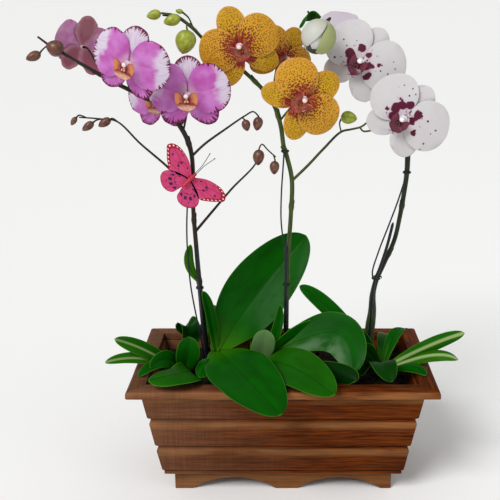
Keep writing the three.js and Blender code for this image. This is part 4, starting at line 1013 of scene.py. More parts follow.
# Centre, then turn about the vertical, tilt down, roll about the way it faces, and size
BLOOMS = {
    "pink_1": {"centre": v(-177, -54, 541), "turns": (-18, 3, -18), "size": 0.97, "angle": 10},
    "pink_2": {"centre": v(-112, -34, 504), "turns": (-6, 4, 0), "size": 1},
    "pink_3": {"centre": v(-156, 28, 492), "turns": (-24, 4, 0), "size": 0.94},
    "pink_4": {"centre": v(-251, 42, 556), "turns": (228, -4, 14), "size": 0.86, "angle": 6},
    "gold_1": {"centre": v(-51, -20, 559), "turns": (0, 2, 21), "size": 1, "angle": 7},
    "gold_2": {"centre": v(24, -46, 500), "turns": (4, 2, -58), "size": 1},
    "gold_3": {"centre": v(1, 24, 543), "turns": (30, 0, -37), "size": 0.9},
    "white_1": {"centre": v(140, -57, 479), "turns": (-18, 0, -40), "size": 1},
    "white_2": {"centre": v(92, -19, 541), "turns": (-12, -8, -33), "size": 1.01},
    "white_3": {"centre": v(81, 26, 572), "turns": (20, -46, -58), "size": 0.84, "petals": "plain white"},
}
PETAL_FULLNESS = 0.6
SEPAL_KIND, PETAL_KIND, LOW_SEPAL_KIND = 0.0, 1.0, 2.0
TEPAL_ROWS = 30
TEPAL_SIDES = 44


def bloom_rotation(bloom):
    turn, tilt, roll = bloom["turns"]
    return spin(v(0, 0, 1), turn) @ spin(v(1, 0, 0), 90 + tilt) @ spin(v(0, 0, 1), roll)


def bloom_matrix(bloom):
    turned = bloom_rotation(bloom).to_matrix().to_4x4()
    return Matrix.Translation(bloom["centre"]) @ turned @ Matrix.Scale(bloom["size"], 4)


def add_tepal(piece, angle, length, upper, lower, kind, seed, ruffle):
    """A sepal or petal that lies along its own angle, rises a little and then bends back."""
    petal = kind == PETAL_KIND
    neck, lift, rise, reflex, cup = (0.08, 0.8, 4, 11, 2) if petal else (0.16, -1.4, 0, 5.5, 1.5)
    fullness = PETAL_FULLNESS if petal else 1
    cosine, sine = math.cos(math.radians(angle)), math.sin(math.radians(angle))
    root = 1.6

    def lie(s, t):
        share = outline(s, 0.5, neck, fullness)
        return root + (length - root) * s, t * share * (upper if t > 0 else lower), share

    def surface(s, t):
        lengthwise, crosswise, share = lie(s, t)
        height = lift + rise * s - reflex * s * s - cup * share * t * t
        wave = ruffle * share * t * t * math.sin(9 * s + 3 * t + seed)
        frill = 0.35 * ruffle * abs(t) ** 5 * math.sin(26 * s + 2 * seed) * smooth(0.15, 0.4, s)
        groove = 0.5 * math.exp(-((crosswise / 1.3) ** 2)) * smooth(1, 0.4, s)
        return v(
            lengthwise * cosine - crosswise * sine, lengthwise * sine + crosswise * cosine,
            height + wave + frill - groove,
        )

    def marks(s, t):
        lengthwise, crosswise, share = lie(s, t)
        beside = (1 - abs(t)) * share * (upper if t > 0 else lower)
        edge = min(beside, 1.15 * (1 - s) * length)
        round_edge = 0.5 * length * math.atan2(crosswise, lengthwise - 0.5 * length)
        return (lengthwise, crosswise, seed), (edge, round_edge, kind)

    piece.blade(surface, TEPAL_ROWS, TEPAL_SIDES, PETAL_THICKNESS, marks)


def add_bloom(name, bloom, seed):
    kind = name.split("_")[0]
    form = BLOOM_FORMS[kind]
    length, half_width = form["top"]
    side_length, side_half_width, side_angle = form["side"]
    petal_length, upper, lower = form["petal"]
    angle = bloom.get("angle", form["angle"])
    ruffle = form["ruffle"]
    piece = Piece()
    add_tepal(piece, 90, length, half_width, half_width, SEPAL_KIND, seed, ruffle)
    for k, turn in enumerate((90 + side_angle, 90 - side_angle)):
        add_tepal(
            piece, turn, side_length, side_half_width, side_half_width, LOW_SEPAL_KIND, seed + 2 + k, ruffle,
        )
    add_tepal(piece, angle, petal_length, upper, lower, PETAL_KIND, seed + 5, ruffle)
    add_tepal(piece, 180 - angle, petal_length, lower, upper, PETAL_KIND, seed + 7, ruffle)
    piece.tube([v(0, 0, -HUB_BACK), v(0, 0, HUB_FRONT)], [2.4, 4.6], 4, 20, material=1)
    piece.move(bloom_matrix(bloom))
    petals = PETALS[bloom.get("petals", kind)]
    piece.finish(f"{name}_petals", [petals, COLUMNS[kind]], [f"bloom_{name}_tepals"])
    add_lip(name, kind, bloom, form["lip_spread"])


COLUMN_RINGS = [
    (2.7, 3.6), (4.5, 3.3), (7, 2.7), (9.2, 2.4), (10.6, 2.8), (12, 2.9), (13, 2.3), (13.6, 1.3), (13.8, 0.0),
]


def add_lip(name, kind, bloom, spread):
    """The lip under its column: the foot, the callus, two upright side lobes and a pointed front lobe
    with a pair of fine tendrils."""
    piece = Piece()

    def column(s, u):
        ring = s * (len(COLUMN_RINGS) - 1)
        z = along([z for z, _ in COLUMN_RINGS], s)
        radius = along([radius for _, radius in COLUMN_RINGS], s)
        turn = 2 * math.pi * u
        point = v(radius * math.cos(turn), 0.05 * ring + 0.92 * radius * math.sin(turn), z)
        return point, (s, u, 0), (z, radius * turn, 1.0), (0, 0, 0)

    piece.grid(24, 20, column, material=1)
    piece.tube([v(0, -0.6, 4.4), v(0, -3.5, 6), v(0, -6.4, 8.4)], [2, 2.4, 2.6], 8, 14, seed=1.0, kind=3.0)
    for side in (1, -1):
        piece.egg(
            v(side * 1.2, -5.2, 8.6), v(side * 1.8, -7.2, 12), 1.5,
            seed=2.0, kind=3.0, rows=8, sides=10, seams=0,
        )

    def front_lobe(s, t):
        half_width = 2.6 + 6.4 * spread * math.sin(math.pi * min(0.1 + s, 1)) ** 0.8
        narrow = half_width * (1 - smooth(0.8, 1.05, s) * 0.5)
        return v(t * narrow, -6.4 - 11.8 * s, 7.2 + 7 * s - 8 * s * s + 1.8 * t * t - 0.8 * (1 - t * t) * s)

    def side_lobe(side):
        def surface(s, t):
            out = t * (2.6 + 5 * spread * math.sin(math.pi * (0.1 + 0.68 * s)))
            cupped = 1.6 * s * t * t
            return v(
                side * (2.2 + 8.4 * spread * s - 0.1 * out - 0.6 * cupped),
                -6.4 + 5.4 * s * s + 0.95 * out,
                8 + 3.4 * s + 0.3 * out + cupped,
            )
        return surface

    def marks_of(part):
        def marks(s, t):
            return (14 * s, 6 * t, part), (6 * (1 - abs(t)), 14 * s, part)
        return marks

    piece.blade(front_lobe, 20, 26, 1, marks_of(2.0))
    for side in (1, -1):
        piece.blade(side_lobe(side), 16, 24, 1, marks_of(1.0))
        tendril = [
            v(side * 0.8, -17.7, 6.4), v(side * 2, -19.4, 7), v(side * 3.6, -19.4, 8.6),
            v(side * 4, -17.8, 9.4),
        ]
        piece.tube(tendril, [0.42, 0.34, 0.2], 12, 8, seed=3.0, kind=2.0)
    piece.move(bloom_matrix(bloom))
    piece.finish(f"{name}_lip", [LIPS[kind], COLUMNS[kind]], [f"bloom_{name}_lip"])


OPENING_BLOOM = {"root": v(51, -33, 586), "facing": v(-0.5, -0.42, -0.76).normalized(), "radius": 20}
HEART_BACK = 0.8


def add_opening_bloom():
    """The white plant's newest bloom, just opening: three outer tepals over two inner ones."""
    root, axis, radius = OPENING_BLOOM["root"], OPENING_BLOOM["facing"], OPENING_BLOOM["radius"]
    across = v(0, 0, 1).cross(axis).normalized()
    up = axis.cross(across)
    piece = Piece()

    def globe_blade(azimuth, spread, reach, kind, seed):
        def surface(s, t):
            polar = 0.24 + 2.56 * s
            angle = math.radians(azimuth + t * spread * outline(s, 0.5, 0.75))
            out = across * math.cos(angle) + up * math.sin(angle)
            crease = 1 - 0.03 * math.exp(-((t * spread / 5) ** 2))
            return root + axis * (radius * (1 - math.cos(polar))) + out * (reach * crease * math.sin(polar))

        def marks(s, t):
            return (44 * s, 18 * t, seed), (12 * (1 - abs(t)), 40 * s, kind)

        piece.blade(surface, 24, 36, 1, marks)

    for k, azimuth in enumerate((90, 210, 330)):
        globe_blade(azimuth, 58, radius, 1.0 if azimuth == 330 else 0.0, k)
    for azimuth in (30, 150):
        globe_blade(azimuth, 52, radius - 2.6, 0.0, azimuth)
    piece.tube([root - axis * HEART_BACK, root + axis * 2], [4.6, 7], 4, 18)
    piece.finish("opening_bloom", [PETALS["cream"]], ["bloom_white_opening"])


# Spikes: the stem, its side stems, the blooms' stalks, the buds and the small leaves on it
SPIKES = {
    "pink": {
        "stem": [
            v(-100, 8, STEM_FOOT), v(-100, 8, 148), v(-105, 8, 207), v(-108, 6, 255),
            v(-111, 4, 309), v(-113, 0, 360),
            v(-112, -2, 390), v(-113, -6, 431), v(-120, -8, 454), v(-134, -8, 475), v(-155, -8, 492),
            v(-184, -8, 507), v(-208, -8, 519), v(-249, -8, 543), v(-275, -8, 558), v(-291, -9, 570),
        ],
        "radii": [4, 3.6, 3, 2.6, 3.2, 2.3, 1.2],
        "side_stems": [
            ([
                v(-113, -1, 374), v(-129, 0, 396), v(-144, 2, 412), v(-177, 4, 441), v(-205, 6, 468),
                v(-225, 6, 471), v(-251, 6, 473),
            ], [1.7, 1.3, 0.9]),
            ([
                v(-112, -6, 427), v(-96, -8, 442), v(-71, -10, 460),
                v(-46, -12, 477), v(-36, -12, 482), v(-29, -12, 476),
            ], [1.7, 1.3, 0.9]),
            ([
                v(-112, 2, 328), v(-92, 0, 352), v(-64, -2, 385), v(-33, -6, 419), v(-30, -4, 434),
                v(-26, -2, 441), v(-19, -2, 434), v(-9, -2, 425),
            ], [1.9, 1.5, 1.1, 0.8]),
        ],
        "stalks": [
            (v(-184, -8, 507), [v(-184, -28, 524)], "pink_1"),
            (v(-122, -8, 457), [v(-116, -14, 480)], "pink_2"),
            (v(-112, -5, 422), [v(-116, 22, 436), v(-134, 44, 464), v(-146, 50, 488)], "pink_3"),
            (v(-216, -8, 524), [v(-226, 2, 540)], "pink_4"),
        ],
        "buds": [
            ([v(-244, -8, 540), v(-254, -6, 544)], v(-262, -6, 553), v(-281, -12, 561), 10),
            ([v(-279, -8, 561), v(-286, -10, 555)], v(-288, -11, 551), v(-305, -16, 544), 6),
            ([v(-243, 6, 473), v(-250, 2, 476)], v(-253, 0, 474), v(-260, -1, 464), 3.6),
            ([v(-222, 6, 471), v(-229, 0, 470)], v(-232, -1, 468), v(-246, -4, 458), 5),
            ([v(-203, 6, 467), v(-209, 2, 472)], v(-211, 0, 472), v(-226, -4, 463), 5.4),
            ([v(-50, -12, 475), v(-47, -14, 473)], v(-46, -15, 473), v(-43, -17, 459), 5.4),
            ([v(-31, -12, 478), v(-29, -12, 474)], v(-29, -12, 476), v(-32, -14, 459), 6.2),
            ([v(-33, -6, 419), v(-32, -10, 426)], v(-29, -11, 436), v(-31, -12, 416), 7.2),
            ([v(-12, -2, 428), v(-10, -4, 422)], v(-10, -5, 421), v(-11, -8, 404), 6.2),
        ],
        "leaves": [
            {
                "base": v(-109, 6, 261), "mid": v(-121, 6, 285), "tip": v(-118, 3, 311),
                "side": v(0.9, 0.35, 0.2), "half_width": 6.5, "youth_and_painted_light": 0.5,
            },
        ],
        "nodes": [0.1, 0.27, 0.42, 0.5, 0.6, 0.74, 0.85, 0.93],
    },
    "gold": {
        "stem": [
            v(3, 12, STEM_FOOT), v(3, 12, 150), v(4, 11, 200), v(5, 8, 257), v(7, 5, 305), v(10, 2, 352),
            v(11, -2, 397), v(5, -4, 425), v(1, -6, 438), v(-3, -6, 465), v(-11, -4, 489), v(-25, -2, 508),
            v(-45, 0, 527), v(-70, 2, 548), v(-94, 2, 566), v(-110, 0, 582), v(-127, -2, 594),
            v(-144, -4, 597),
        ],
        "radii": [4, 3.5, 2.8, 2.9, 2.8, 2.2, 1.3],
        "side_stems": [
            ([
                v(11, -2, 395), v(31, -4, 415), v(50, -6, 436), v(71, -8, 457), v(83, -8, 460),
                v(95, -8, 463), v(102, -8, 468),
            ], [1.9, 1.6, 1.2]),
            ([v(93, -8, 463), v(98, -9, 458), v(111, -10, 459), v(120, -10, 456)], [1.1, 1.4]),
        ],
        "stalks": [
            (v(-52, 1, 533), [v(-50, -4, 552)], "gold_1"),
            (v(-4, -6, 470), [v(10, -16, 488)], "gold_2"),
            (v(-9, -5, 483), [v(-8, 22, 482), v(-12, 46, 504)], "gold_3"),
        ],
        "buds": [
            ([v(-110, 0, 582), v(-114, -6, 583)], v(-112, -9, 578), v(-119, -14, 550), 12.5),
            ([v(-122, -1, 591), v(-124, -5, 594)], v(-121, -7, 592), v(-141, -10, 586), 7),
            ([v(-140, -4, 597), v(-144, -5, 597)], v(-144, -6, 597), v(-161, -8, 593), 6),
            ([v(-107, 0, 580), v(-113, 3, 592)], v(-119, 3, 598), v(-128, 3, 600), 3),
            ([v(71, -8, 457), v(69, -8, 468)], v(70, -9, 476), v(90, -12, 473), 8),
        ],
        "leaves": [],
        "nodes": [0.12, 0.28, 0.45, 0.58, 0.66, 0.75, 0.84, 0.92],
    },
    "white": {
        "stem": [
            v(114, 12, STEM_FOOT), v(114, 12, 181), v(115, 12, 196), v(117, 10, 219),
            v(117, 8, 243), v(121, 6, 264),
            v(130, 5, 286), v(142, 4, 317), v(148, 2, 350), v(152, 0, 382), v(154, -2, 406), v(154, -4, 425),
            v(154, -4, 438), v(149, -6, 457), v(139, -6, 477), v(124, -4, 495), v(107, 0, 507), v(91, 5, 523),
            v(80, 11, 535), v(70, 14, 546), v(61, 10, 557), v(55, 6, 567), v(45, 0, 583), v(29, -6, 599),
        ],
        "radii": [6.8, 6.8, 6.4, 3.6, 2.9, 2.8, 3, 3.4, 3, 2.4, 1.9, 1.6, 1.2],
        "side_stems": [],
        "stalks": [
            (v(146, -6, 464), [v(144, -22, 472)], "white_1"),
            (v(104, 0, 510), [v(98, -4, 530)], "white_2"),
            (v(80, 11, 535), [v(80, 34, 544)], "white_3"),
        ],
        "buds": [],
        "leaves": [
            {
                "base": v(44, 1, 591), "mid": v(30, -4, 594), "tip": v(20, -8, 580),
                "side": v(0.5, -0.4, 0.7), "half_width": 8, "youth_and_painted_light": 0.05,
            },
        ],
        "nodes": [0.35, 0.47, 0.6, 0.68, 0.78, 0.86, 0.95],
    },
}
NODE_SWELL = 0.28
NODE_LENGTH = 0.007
BRACT_LENGTH = 9
BRACT_THICKNESS = 0.5


def knobbed(radii, nodes):
    """The stem's radius at s, a little thicker at each of its nodes."""
    def radius(s):
        swell = sum(math.exp(-(((s - node) / NODE_LENGTH) ** 2)) for node in nodes)
        return along(radii, s) * (1 + NODE_SWELL * swell)
    return radius


def add_leaf(piece, base, mid, tip, side, half_width, fold=0.22, roll=0, peak=0.55, neck=0.34,
             youth_and_painted_light=0.0, seed=0.0, material=0, thickness=LEAF_THICKNESS):
    """A fleshy strap, folded along a midrib that runs through three points."""
    bend = 2 * mid - (base + tip) / 2
    length = (mid - base).length + (tip - mid).length
    down = -0.55 if half_width > 12 else -0.25

    def surface(s, t):
        at = min(max(s, 0), 1)
        forward = (2 * (1 - at) * (bend - base) + 2 * at * (tip - bend)).normalized()
        across = (side - forward * side.dot(forward)).normalized()
        across.rotate(spin(forward, roll * at))
        face = across.cross(forward)
        out = t * half_width * outline(at, peak, neck)
        wave = 0.05 * half_width * abs(t) * math.sin(7 * s + 2 * t)
        ripple = 0.018 * half_width * t * t * math.sin(21 * s + 5 * t + seed)
        groove = down * math.exp(-((out / (0.06 * half_width + 1)) ** 2)) * smooth(1, 0.7, at)
        middle = base * (1 - at) ** 2 + bend * (2 * at * (1 - at)) + tip * at**2
        return middle + forward * (s - at) + across * out + face * (fold * abs(out) + wave + ripple + groove)

    def marks(s, t):
        width = half_width * outline(min(max(s, 0), 1), peak, neck)
        edge = min((1 - abs(t)) * width, 1.1 * (1 - s) * length)
        return (s * length, t * width, seed), (edge, s * length, youth_and_painted_light)

    broad = half_width >= 20
    piece.blade(surface, 44 if broad else 26, 44 if broad else 24, thickness, marks, material)


def bloom_seat(bloom):
    """The point behind a bloom where its stalk ends, and the way the bloom faces."""
    facing = bloom_rotation(bloom) @ v(0, 0, 1)
    return bloom["centre"] - facing * (HUB_BACK * bloom["size"] + SEAT_GAP), facing


def add_bract(piece, at, forward, outward, radius):
    """A small dry scale at a node of the stem, hugging it and ending in a point."""
    across = forward.cross(outward).normalized()

    def surface(s, t):
        turn = t * 1.5 * (1 - 0.75 * s * s)
        flare = radius * (1.08 + 0.5 * s * s)
        wrap = outward * math.cos(turn) + across * math.sin(turn)
        return at + forward * (BRACT_LENGTH * s) + flare * wrap

    def marks(s, t):
        return (BRACT_LENGTH * s, radius * t, 4.0), (radius * (1 - abs(t)), BRACT_LENGTH * s, 0)

    piece.blade(surface, 8, 16, BRACT_THICKNESS, marks)


def add_spike(name, spike):
    piece = Piece()
    stem, radii = spike["stem"], spike["radii"]
    steps = 14 * len(stem)
    piece.tube(stem, knobbed(radii, spike["nodes"]), steps, 14, seed=1.0)
    path = smooth_path(stem, steps)
    for k, node in enumerate(spike["nodes"]):
        i = round(node * steps)
        forward = (path[min(i + 2, steps)] - path[i]).normalized()
        outward = (spin(forward, 180 * k + 20) @ forward.orthogonal()).normalized()
        add_bract(piece, path[i], forward, outward, along(radii, node))
    for k, (points, widths) in enumerate(spike["side_stems"]):
        piece.tube(points, widths, 9 * len(points), 10, seed=3.0 + k)
    for k, (start, via, bloom_name) in enumerate(spike["stalks"]):
        seat, facing = bloom_seat(BLOOMS[bloom_name])
        points = [start, *via, seat - facing * 7, seat]
        piece.tube(points, [1.4, 1.2, 1.2, 1.5], 10 * len(points), 10, seed=8.0 + k)
    for k, (stalk, root, point, half_width) in enumerate(spike["buds"]):
        widths = [BUD_STALK_RADIUS, BUD_STALK_RADIUS, 1.3]
        piece.tube([*stalk, root.lerp(point, 0.12)], widths, 14, 8, seed=k)
        piece.egg(root, point, half_width, seed=2.0 * k, material=1)
    for form in spike["leaves"]:
        add_leaf(piece, **form, material=2)
    if name == "white":
        axis = OPENING_BLOOM["facing"]
        seat = OPENING_BLOOM["root"] - axis * (HEART_BACK + SEAT_GAP)
        piece.tube([stem[-2], seat - axis * 6, seat], [1.4, 1.3], 16, 10, seed=5.0)
    materials = [STEMS[name], BUDS.get(name, STEMS[name]), LEAF]
    piece.finish(f"{name}_stems", materials, [f"spike_{name}"])


# Rosettes: leaves that spring from a short upright crown. Each leaf has the height that it springs from,
# a point half way along its midrib, its tip, the way its width lies, half its width, and what else it has.
# Leaves marked 2 are painted nearly black as shade low in the clump; the one marked -0.5 has a painted grey
# sheen.
ROSETTES = {
    "far_left": (v(-132, -22, 152), [
        (150, v(-174, -34, 181), v(-212, -42, 200), v(0.3, 0.35, 0.9), 10, {"fold": 0.5, "youth_and_painted_light": 0.15}),
        (146, v(-178, -40, 172), v(-223, -54, 173), v(0.1, 0.75, 0.65), 8, {"fold": 0.3, "youth_and_painted_light": 0.25}),
        (144, v(-156, -48, 168), v(-180, -68, 160), v(-0.5, 0.7, 0.4), 8, {}),
        (148, v(-118, -84, 173), v(-161, -106, 172), v(0.5, -0.86, 0), 21,
         {"fold": 0.1, "roll": -10, "youth_and_painted_light": 0.1}),
        (148, v(-122, -34, 176), v(-120, -30, 198), v(1, 0.1, 0), 15, {"fold": 0.35}),
        (148, v(-126, 10, 194), v(-132, 26, 180), v(0.4, 0.9, 0.2), 16, {"youth_and_painted_light": 2}),
        (148, v(-118, 36, 184), v(-112, 74, 168), v(1, 0, 0), 14, {"youth_and_painted_light": 2}),
        (146, v(-146, -42, 173), v(-166, -62, 170), v(0, 0.5, 0.86), 11, {}),
    ]),
    "left": (v(-85, -10, 174), [
        (170, v(-42, 40, 223), v(31, 76, 304), v(0.7, -0.3, -0.5), 42,
         {"fold": 0.3, "peak": 0.56, "neck": 0.16}),
        (172, v(-52, -86, 173), v(-3, -148, 147), v(-0.8, -0.56, -0.2), 39,
         {"fold": 0.12, "peak": 0.52, "neck": 0.3}),
        (166, v(-95, -2, 214), v(-104, -2, 250), v(0.8, 0.6, 0), 9, {"fold": 0.3, "roll": 20}),
        (164, v(-84, 66, 200), v(-80, 122, 168), v(1, -0.15, 0), 24, {"fold": 0.2}),
        (160, v(-94, -46, 173), v(-102, -78, 163), v(0.9, -0.4, 0), 13, {}),
    ]),
    "middle": (v(-36, -14, 158), [
        (154, v(6, -70, 176), v(60, -126, 162), v(-0.7, -0.6, -0.42), 29,
         {"fold": 0.1, "neck": 0.46, "youth_and_painted_light": 0.1}),
        (154, v(60, -26, 203), v(86, -72, 167), v(-0.5, -0.4, -0.8), 27,
         {"fold": 0.14, "peak": 0.6, "youth_and_painted_light": -0.5}),
        (150, v(-26, -26, 184), v(-22, -26, 206), v(1, 0, 0.05), 15, {"fold": 0.2, "youth_and_painted_light": 1.5}),
        (152, v(-10, -10, 192), v(-3, -8, 234), v(0.95, -0.3, -0.1), 7, {"fold": 0.4}),
        (150, v(22, -10, 196), v(58, 4, 190), v(0.2, -0.3, 0.93), 14, {"fold": 0.2}),
        (148, v(54, -66, 167), v(89, -92, 165), v(0, 0.6, 0.8), 13, {"youth_and_painted_light": 2}),
        (156, v(-22, 66, 198), v(-16, 118, 168), v(1, 0.15, 0), 22, {"fold": 0.2}),
        (152, v(-20, 22, 182), v(-26, 48, 188), v(1, 0, 0.2), 15, {"youth_and_painted_light": 2}),
    ]),
    "right": (v(130, -14, 154), [
        (148, v(69, 2, 216), v(22, 12, 253), v(0.83, 0.2, 0.5), 11, {"fold": 0.2}),
        (150, v(184, -32, 186), v(228, -42, 208), v(-0.3, 0.35, 0.9), 9, {"fold": 0.5, "youth_and_painted_light": 0.15}),
        (146, v(186, -38, 176), v(221, -46, 174), v(-0.1, 0.75, 0.65), 8, {"fold": 0.3, "youth_and_painted_light": 0.25}),
        (144, v(160, -44, 164), v(178, -68, 162), v(0.5, 0.7, 0.4), 8, {}),
        (148, v(148, 14, 182), v(166, 30, 186), v(0.7, -0.6, 0.1), 10, {}),
        (146, v(124, -54, 172), v(134, -83, 160), v(-1, 0, 0), 17, {"youth_and_painted_light": 2}),
        (148, v(106, -36, 166), v(99, -60, 158), v(-0.8, 0.5, 0), 12, {"youth_and_painted_light": 2}),
        (148, v(140, 40, 168), v(146, 76, 160), v(1, -0.2, 0), 12, {}),
        (148, v(101, -34, 182), v(82, -66, 160), v(0.5, 0.2, 0.8), 12, {"youth_and_painted_light": 2}),
        (146, v(106, 2, 179), v(90, 16, 192), v(0.6, 0, 0.8), 11, {"youth_and_painted_light": 2}),
    ]),
}
CROWN_RADIUS = 7.5


def add_rosette(name, crown, leaves):
    piece = Piece()
    foot = v(crown.x, crown.y, STEM_FOOT)
    radii = [CROWN_RADIUS, 0.9 * CROWN_RADIUS, 0.8 * CROWN_RADIUS, 0.2]
    piece.tube([foot, crown, crown + v(0, 0, 2)], radii, 16, 18)
    for k, (height, mid, tip, side, half_width, more) in enumerate(leaves):
        base = v(crown.x, crown.y, height)
        level = (mid - base) * v(1, 1, 0)
        base += level.normalized() * (0.5 * CROWN_RADIUS)
        add_leaf(piece, base, mid, tip, side, half_width, seed=3.0 * k, **more)
    piece.finish(f"{name}_leaves", [LEAF], [f"leaves_{name}"])


# Supports: coated stakes, the thin wires that go on from them, and flat ties round both
STAKES = {
    "pink": {
        "rod": [
            v(-99.5, 1.6, STAKE_FOOT), v(-99.5, 1.6, 148), v(-104.4, 2, 207),
            v(-107.4, 0.3, 255), v(-110.4, -1.5, 309),
        ],
        "wire": None,
        "ties": [(253, 3.5, v(-107.4, 0.3, 0), v(-108, 6, 0))],
    },
    "gold": {
        "rod": [v(2, 5.7, STAKE_FOOT), v(2, 5.7, 150), v(3, 5, 200), v(4, 2.4, 257), v(3.4, -0.2, 313)],
        "wire": [
            v(3.2, 0, 308), v(0, -1.4, 322), v(-2.4, -3.4, 345),
            v(-2, -7, 380), v(0, -9.4, 412), v(1.6, -10.6, 437),
        ],
        "ties": [(257, 3.3, v(4, 2.4, 0), v(5, 8, 0)), (433, 3.3, v(1.3, -10.4, 0), v(2.8, -5.1, 0))],
    },
    "white": {
        "rod": [
            v(113, 2.4, STAKE_FOOT), v(113, 2.4, 181), v(114.6, 2, 205), v(115.4, 0, 237), v(118, -2.6, 266),
            v(123, -3.6, 280), v(132, -4, 311), v(139, -4, 343),
        ],
        "wire": [
            v(118, -3.4, 264), v(114, -7, 276), v(121, -8, 305), v(132, -8, 337),
            v(143, -8.4, 370), v(152, -7.7, 402), v(153.4, -7.6, 410),
        ],
        "ties": [(267, 4.4, v(118, -2.6, 0), v(122, 6, 0)), (406, 3.6, v(152.8, -7.6, 0), v(154, -2, 0))],
    },
}
ARCH_WIRES = {
    "pink": (SPIKES["pink"]["stem"][9:14], v(0, 4.2, -2.6)),
    "gold": (SPIKES["gold"]["stem"][12:], v(0, 3.5, -2.3)),
}
TIE_HEIGHT = 2.4
TIE_THICKNESS = 1.1


def add_tie(piece, height, stem_radius, rod, stem):
    """A flat band with rounded edges along a loop of two half rounds about the rod and the stem."""
    middle_radius = stem_radius + 0.5 + TIE_THICKNESS / 2
    reach = (rod - stem).length - stem_radius - 0.5
    toward = (rod - stem).normalized()
    across = v(0, 0, 1).cross(toward)

    def place(s, u):
        turn = 2 * math.pi * s
        out = across * math.cos(turn) - toward * math.sin(turn)
        centre = stem if s <= 0.5 else stem + toward * reach
        round_it = 2 * math.pi * u
        corner = v(0, 0, height) + out * (TIE_THICKNESS / 2 * math.cos(round_it))
        point = centre + out * middle_radius + corner + v(0, 0, TIE_HEIGHT / 2 * math.sin(round_it))
        return point, (s, u, 0), (s * 30, u * 4, 2.0), (0, 0, 1)

    piece.grid(48, 12, place)


def round_ended(radius, start):
    """The radius of a rod along it, which closes to a round end past the start."""
    return lambda s: radius * (1 - smooth(start, 1, s))


def add_supports():
    for name, stake in STAKES.items():
        piece = Piece()
        piece.tube(stake["rod"], round_ended(STAKE_RADIUS, 0.985), 96, 14)
        if stake["wire"]:
            piece.tube(stake["wire"], round_ended(WIRE_RADIUS, 0.985), 90, 10)
        for tie in stake["ties"]:
            add_tie(piece, *tie)
        piece.finish(f"{name}_stake", [COATING], [f"stake_{name}"])
    for name, (stem, offset) in ARCH_WIRES.items():
        piece = Piece()
        piece.tube([point + offset for point in stem], round_ended(WIRE_RADIUS, 0.99), 70, 10)
        piece.finish(f"{name}_arch_wire", [COATING], [f"wire_{name}"])


# Butterfly pick. Its own frame has Y towards the head, X to its right and Z the way it faces.
BUTTERFLY_CENTRE = v(-114, -24, 401)
BUTTERFLY_TURN = -46
FOREWING = [
    (-1, 3), (4.6, 7.7), (14, 14.6), (25.4, 18.7), (36, 19.9), (44.6, 17.4), (48.5, 11.5), (43.4, 5),
    (33.6, -4), (25, -9), (10, -3), (-1, -1),
]
HINDWING = [
    (-1, 1), (8, -1), (21, -6), (29, -14.6), (28, -22), (18.8, -29), (9.2, -29.4), (3.4, -25.4), (1.4, -18),
    (-1, -9),
]
WING_STEPS = 64
WIRE_FOOT = v(-101, -12, STAKE_FOOT)
TORSO_HALF_WIDTH = 3.2


def add_wing(piece, points, side, root, seed):
    """One wing as a fan of faces from its root out to its rounded outline."""
    rim = smooth_path([v(x, y, 0) for x, y in points], WING_STEPS)
    length = path_length(rim)
    for face, lift in ((1, PETAL_THICKNESS), (-1, 0)):
        def place(s, u, face=face, lift=lift):
            edge_point = rim[round(u * WING_STEPS)]
            flat = root.lerp(edge_point, s)
            point = v(side * flat.x, flat.y, lift)
            edge = (1 - s) * (edge_point - root).length
            return point, (s, u, face), (flat.x, flat.y, seed), (edge, u * length, 0)
        piece.grid(14, WING_STEPS, place, closed=False)
    rims = [edge for edge in piece.mesh.edges if edge.is_boundary]
    bmesh.ops.bridge_loops(piece.mesh, edges=rims)


def feeler_radius(s):
    return 0.4 + 0.35 * smooth(0.93, 0.98, s) * (1 - smooth(0.99, 1, s))


def add_butterfly():
    turned = spin(v(1, 0, 0), 90) @ spin(v(0, 0, 1), BUTTERFLY_TURN)
    place = Matrix.Translation(BUTTERFLY_CENTRE) @ turned.to_matrix().to_4x4()
    wings = Piece()
    for side in (1, -1):
        add_wing(wings, FOREWING, side, v(-1, 1, 0), 3.0)
        add_wing(wings, HINDWING, side, v(-1, -3, 0), 6.0)
    wings.move(place)
    wings.finish("butterfly_wing_pair", [WING], ["butterfly_wings"])
    height = PETAL_THICKNESS + SEAT_GAP + TORSO_HALF_WIDTH
    body = Piece()
    body.egg(v(0, 5, height), v(0, -13, height), 0.86 * TORSO_HALF_WIDTH, rows=24, seams=0)
    body.egg(v(0, 1, height), v(0, 9.4, height), TORSO_HALF_WIDTH, rows=12, seams=0)
    body.egg(v(0, 7.6, height), v(0, 12.4, height), 0.74 * TORSO_HALF_WIDTH, rows=12, sides=16, seams=0)
    for side in (1, -1):
        path = [v(side, 9, height), v(side - 0.5, 24, height), v(side * 4.3 - 1.2, 42, height + 1)]
        body.tube(path, feeler_radius, 40, 8, material=1)
    body.move(place)
    body.finish("butterfly_torso", [TORSO, COATING], ["butterfly_body"])
    wire = Piece()
    back = BUTTERFLY_CENTRE + v(0, WIRE_RADIUS + SEAT_GAP, 4)
    path = [WIRE_FOOT, v(-101, -12, 150), v(-118, -10, 261), v(-121, -10, 322), v(-118, -18, 372), back]
    wire.tube(path, [WIRE_RADIUS, WIRE_RADIUS], 90, 10)
    wire.finish("butterfly_pick_wire", [COATING], ["butterfly_wire"])


# Stage: camera as the photograph was taken, a pale floor and soft light
CAMERA_PLACE = v(0, -1085.9, 606.2)
CAMERA_PITCH = 15.5
CAMERA_LENS = 63.6
CAMERA_SENSOR = 36
CAMERA_SHIFT = -0.066
FLOOR_HALF = 500
AIM_HEIGHT = 0.33
SOFT_LIGHT = 0.46
BACKGROUND_WHITE = 0.87


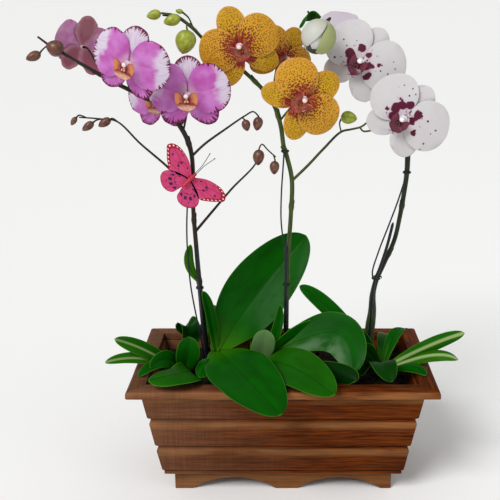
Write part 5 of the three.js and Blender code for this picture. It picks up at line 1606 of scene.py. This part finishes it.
def add_camera():
    data = bpy.data.cameras.new("camera")
    data.lens = CAMERA_LENS
    data.sensor_width = CAMERA_SENSOR
    data.shift_x = CAMERA_SHIFT
    camera = bpy.data.objects.new("camera", data)
    camera.location = TO_FRAME @ CAMERA_PLACE
    camera.rotation_euler = (math.radians(90 - CAMERA_PITCH), 0, 0)
    bpy.context.scene.collection.objects.link(camera)
    bpy.context.scene.camera = camera


def add_floor():
    floor = bmesh.new()
    bmesh.ops.create_grid(floor, x_segments=1, y_segments=1, size=FLOOR_HALF)
    mesh = bpy.data.meshes.new("floor")
    floor.to_mesh(mesh)
    floor.free()
    paint = material_of("Pale floor", lambda layout: (srgb(250, 250, 249), None), 0.9)
    mesh.materials.append(paint)
    stage = bpy.data.objects.new("floor", mesh)
    bpy.context.scene.collection.objects.link(stage)


def add_light(name, kind, place, power, **settings):
    data = bpy.data.lights.new(name, kind)
    data.energy = power
    for setting, value in settings.items():
        setattr(data, setting, value)
    aim = MIDDLE + v(0, 0, AIM_HEIGHT)
    lamp = bpy.data.objects.new(name, data)
    lamp.location = place
    lamp.rotation_euler = (aim - place).to_track_quat("-Z", "Y").to_euler()
    bpy.context.scene.collection.objects.link(lamp)


def add_world():
    """Soft light from all round, on a pale background."""
    world = bpy.data.worlds.new("studio")
    world.use_nodes = True
    layout = Layout(world.node_tree)
    soft = world.node_tree.nodes["Background"]
    soft.inputs["Color"].default_value = (1, 1, 1, 1)
    soft.inputs["Strength"].default_value = SOFT_LIGHT
    white = layout.node("ShaderNodeBackground", {"Color": (1, 1, 1, 1), "Strength": BACKGROUND_WHITE})
    seen = layout.node("ShaderNodeLightPath").outputs["Is Camera Ray"]
    both = layout.node("ShaderNodeMixShader", {0: seen, 1: soft.outputs[0], 2: white.outputs[0]})
    layout.put(world.node_tree.nodes["World Output"].inputs["Surface"], both.outputs[0])
    bpy.context.scene.world = world


def add_stage():
    add_camera()
    add_floor()
    add_light("key", "SUN", v(-1.2, -1.6, 2.2), 2.25, angle=math.radians(28))
    add_light("fill", "AREA", v(1.6, -1.4, 1.1), 5, shape="DISK", size=1.4)
    add_world()
    bpy.context.scene.view_settings.view_transform = "Standard"


add_stage()
add_planter()
add_bark()
for number, (bloom_name, bloom_form) in enumerate(BLOOMS.items()):
    add_bloom(bloom_name, bloom_form, 11.0 * number)
add_opening_bloom()
for spike_name, spike_form in SPIKES.items():
    add_spike(spike_name, spike_form)
for rosette_name, rosette in ROSETTES.items():
    add_rosette(rosette_name, *rosette)
add_supports()
add_butterfly()
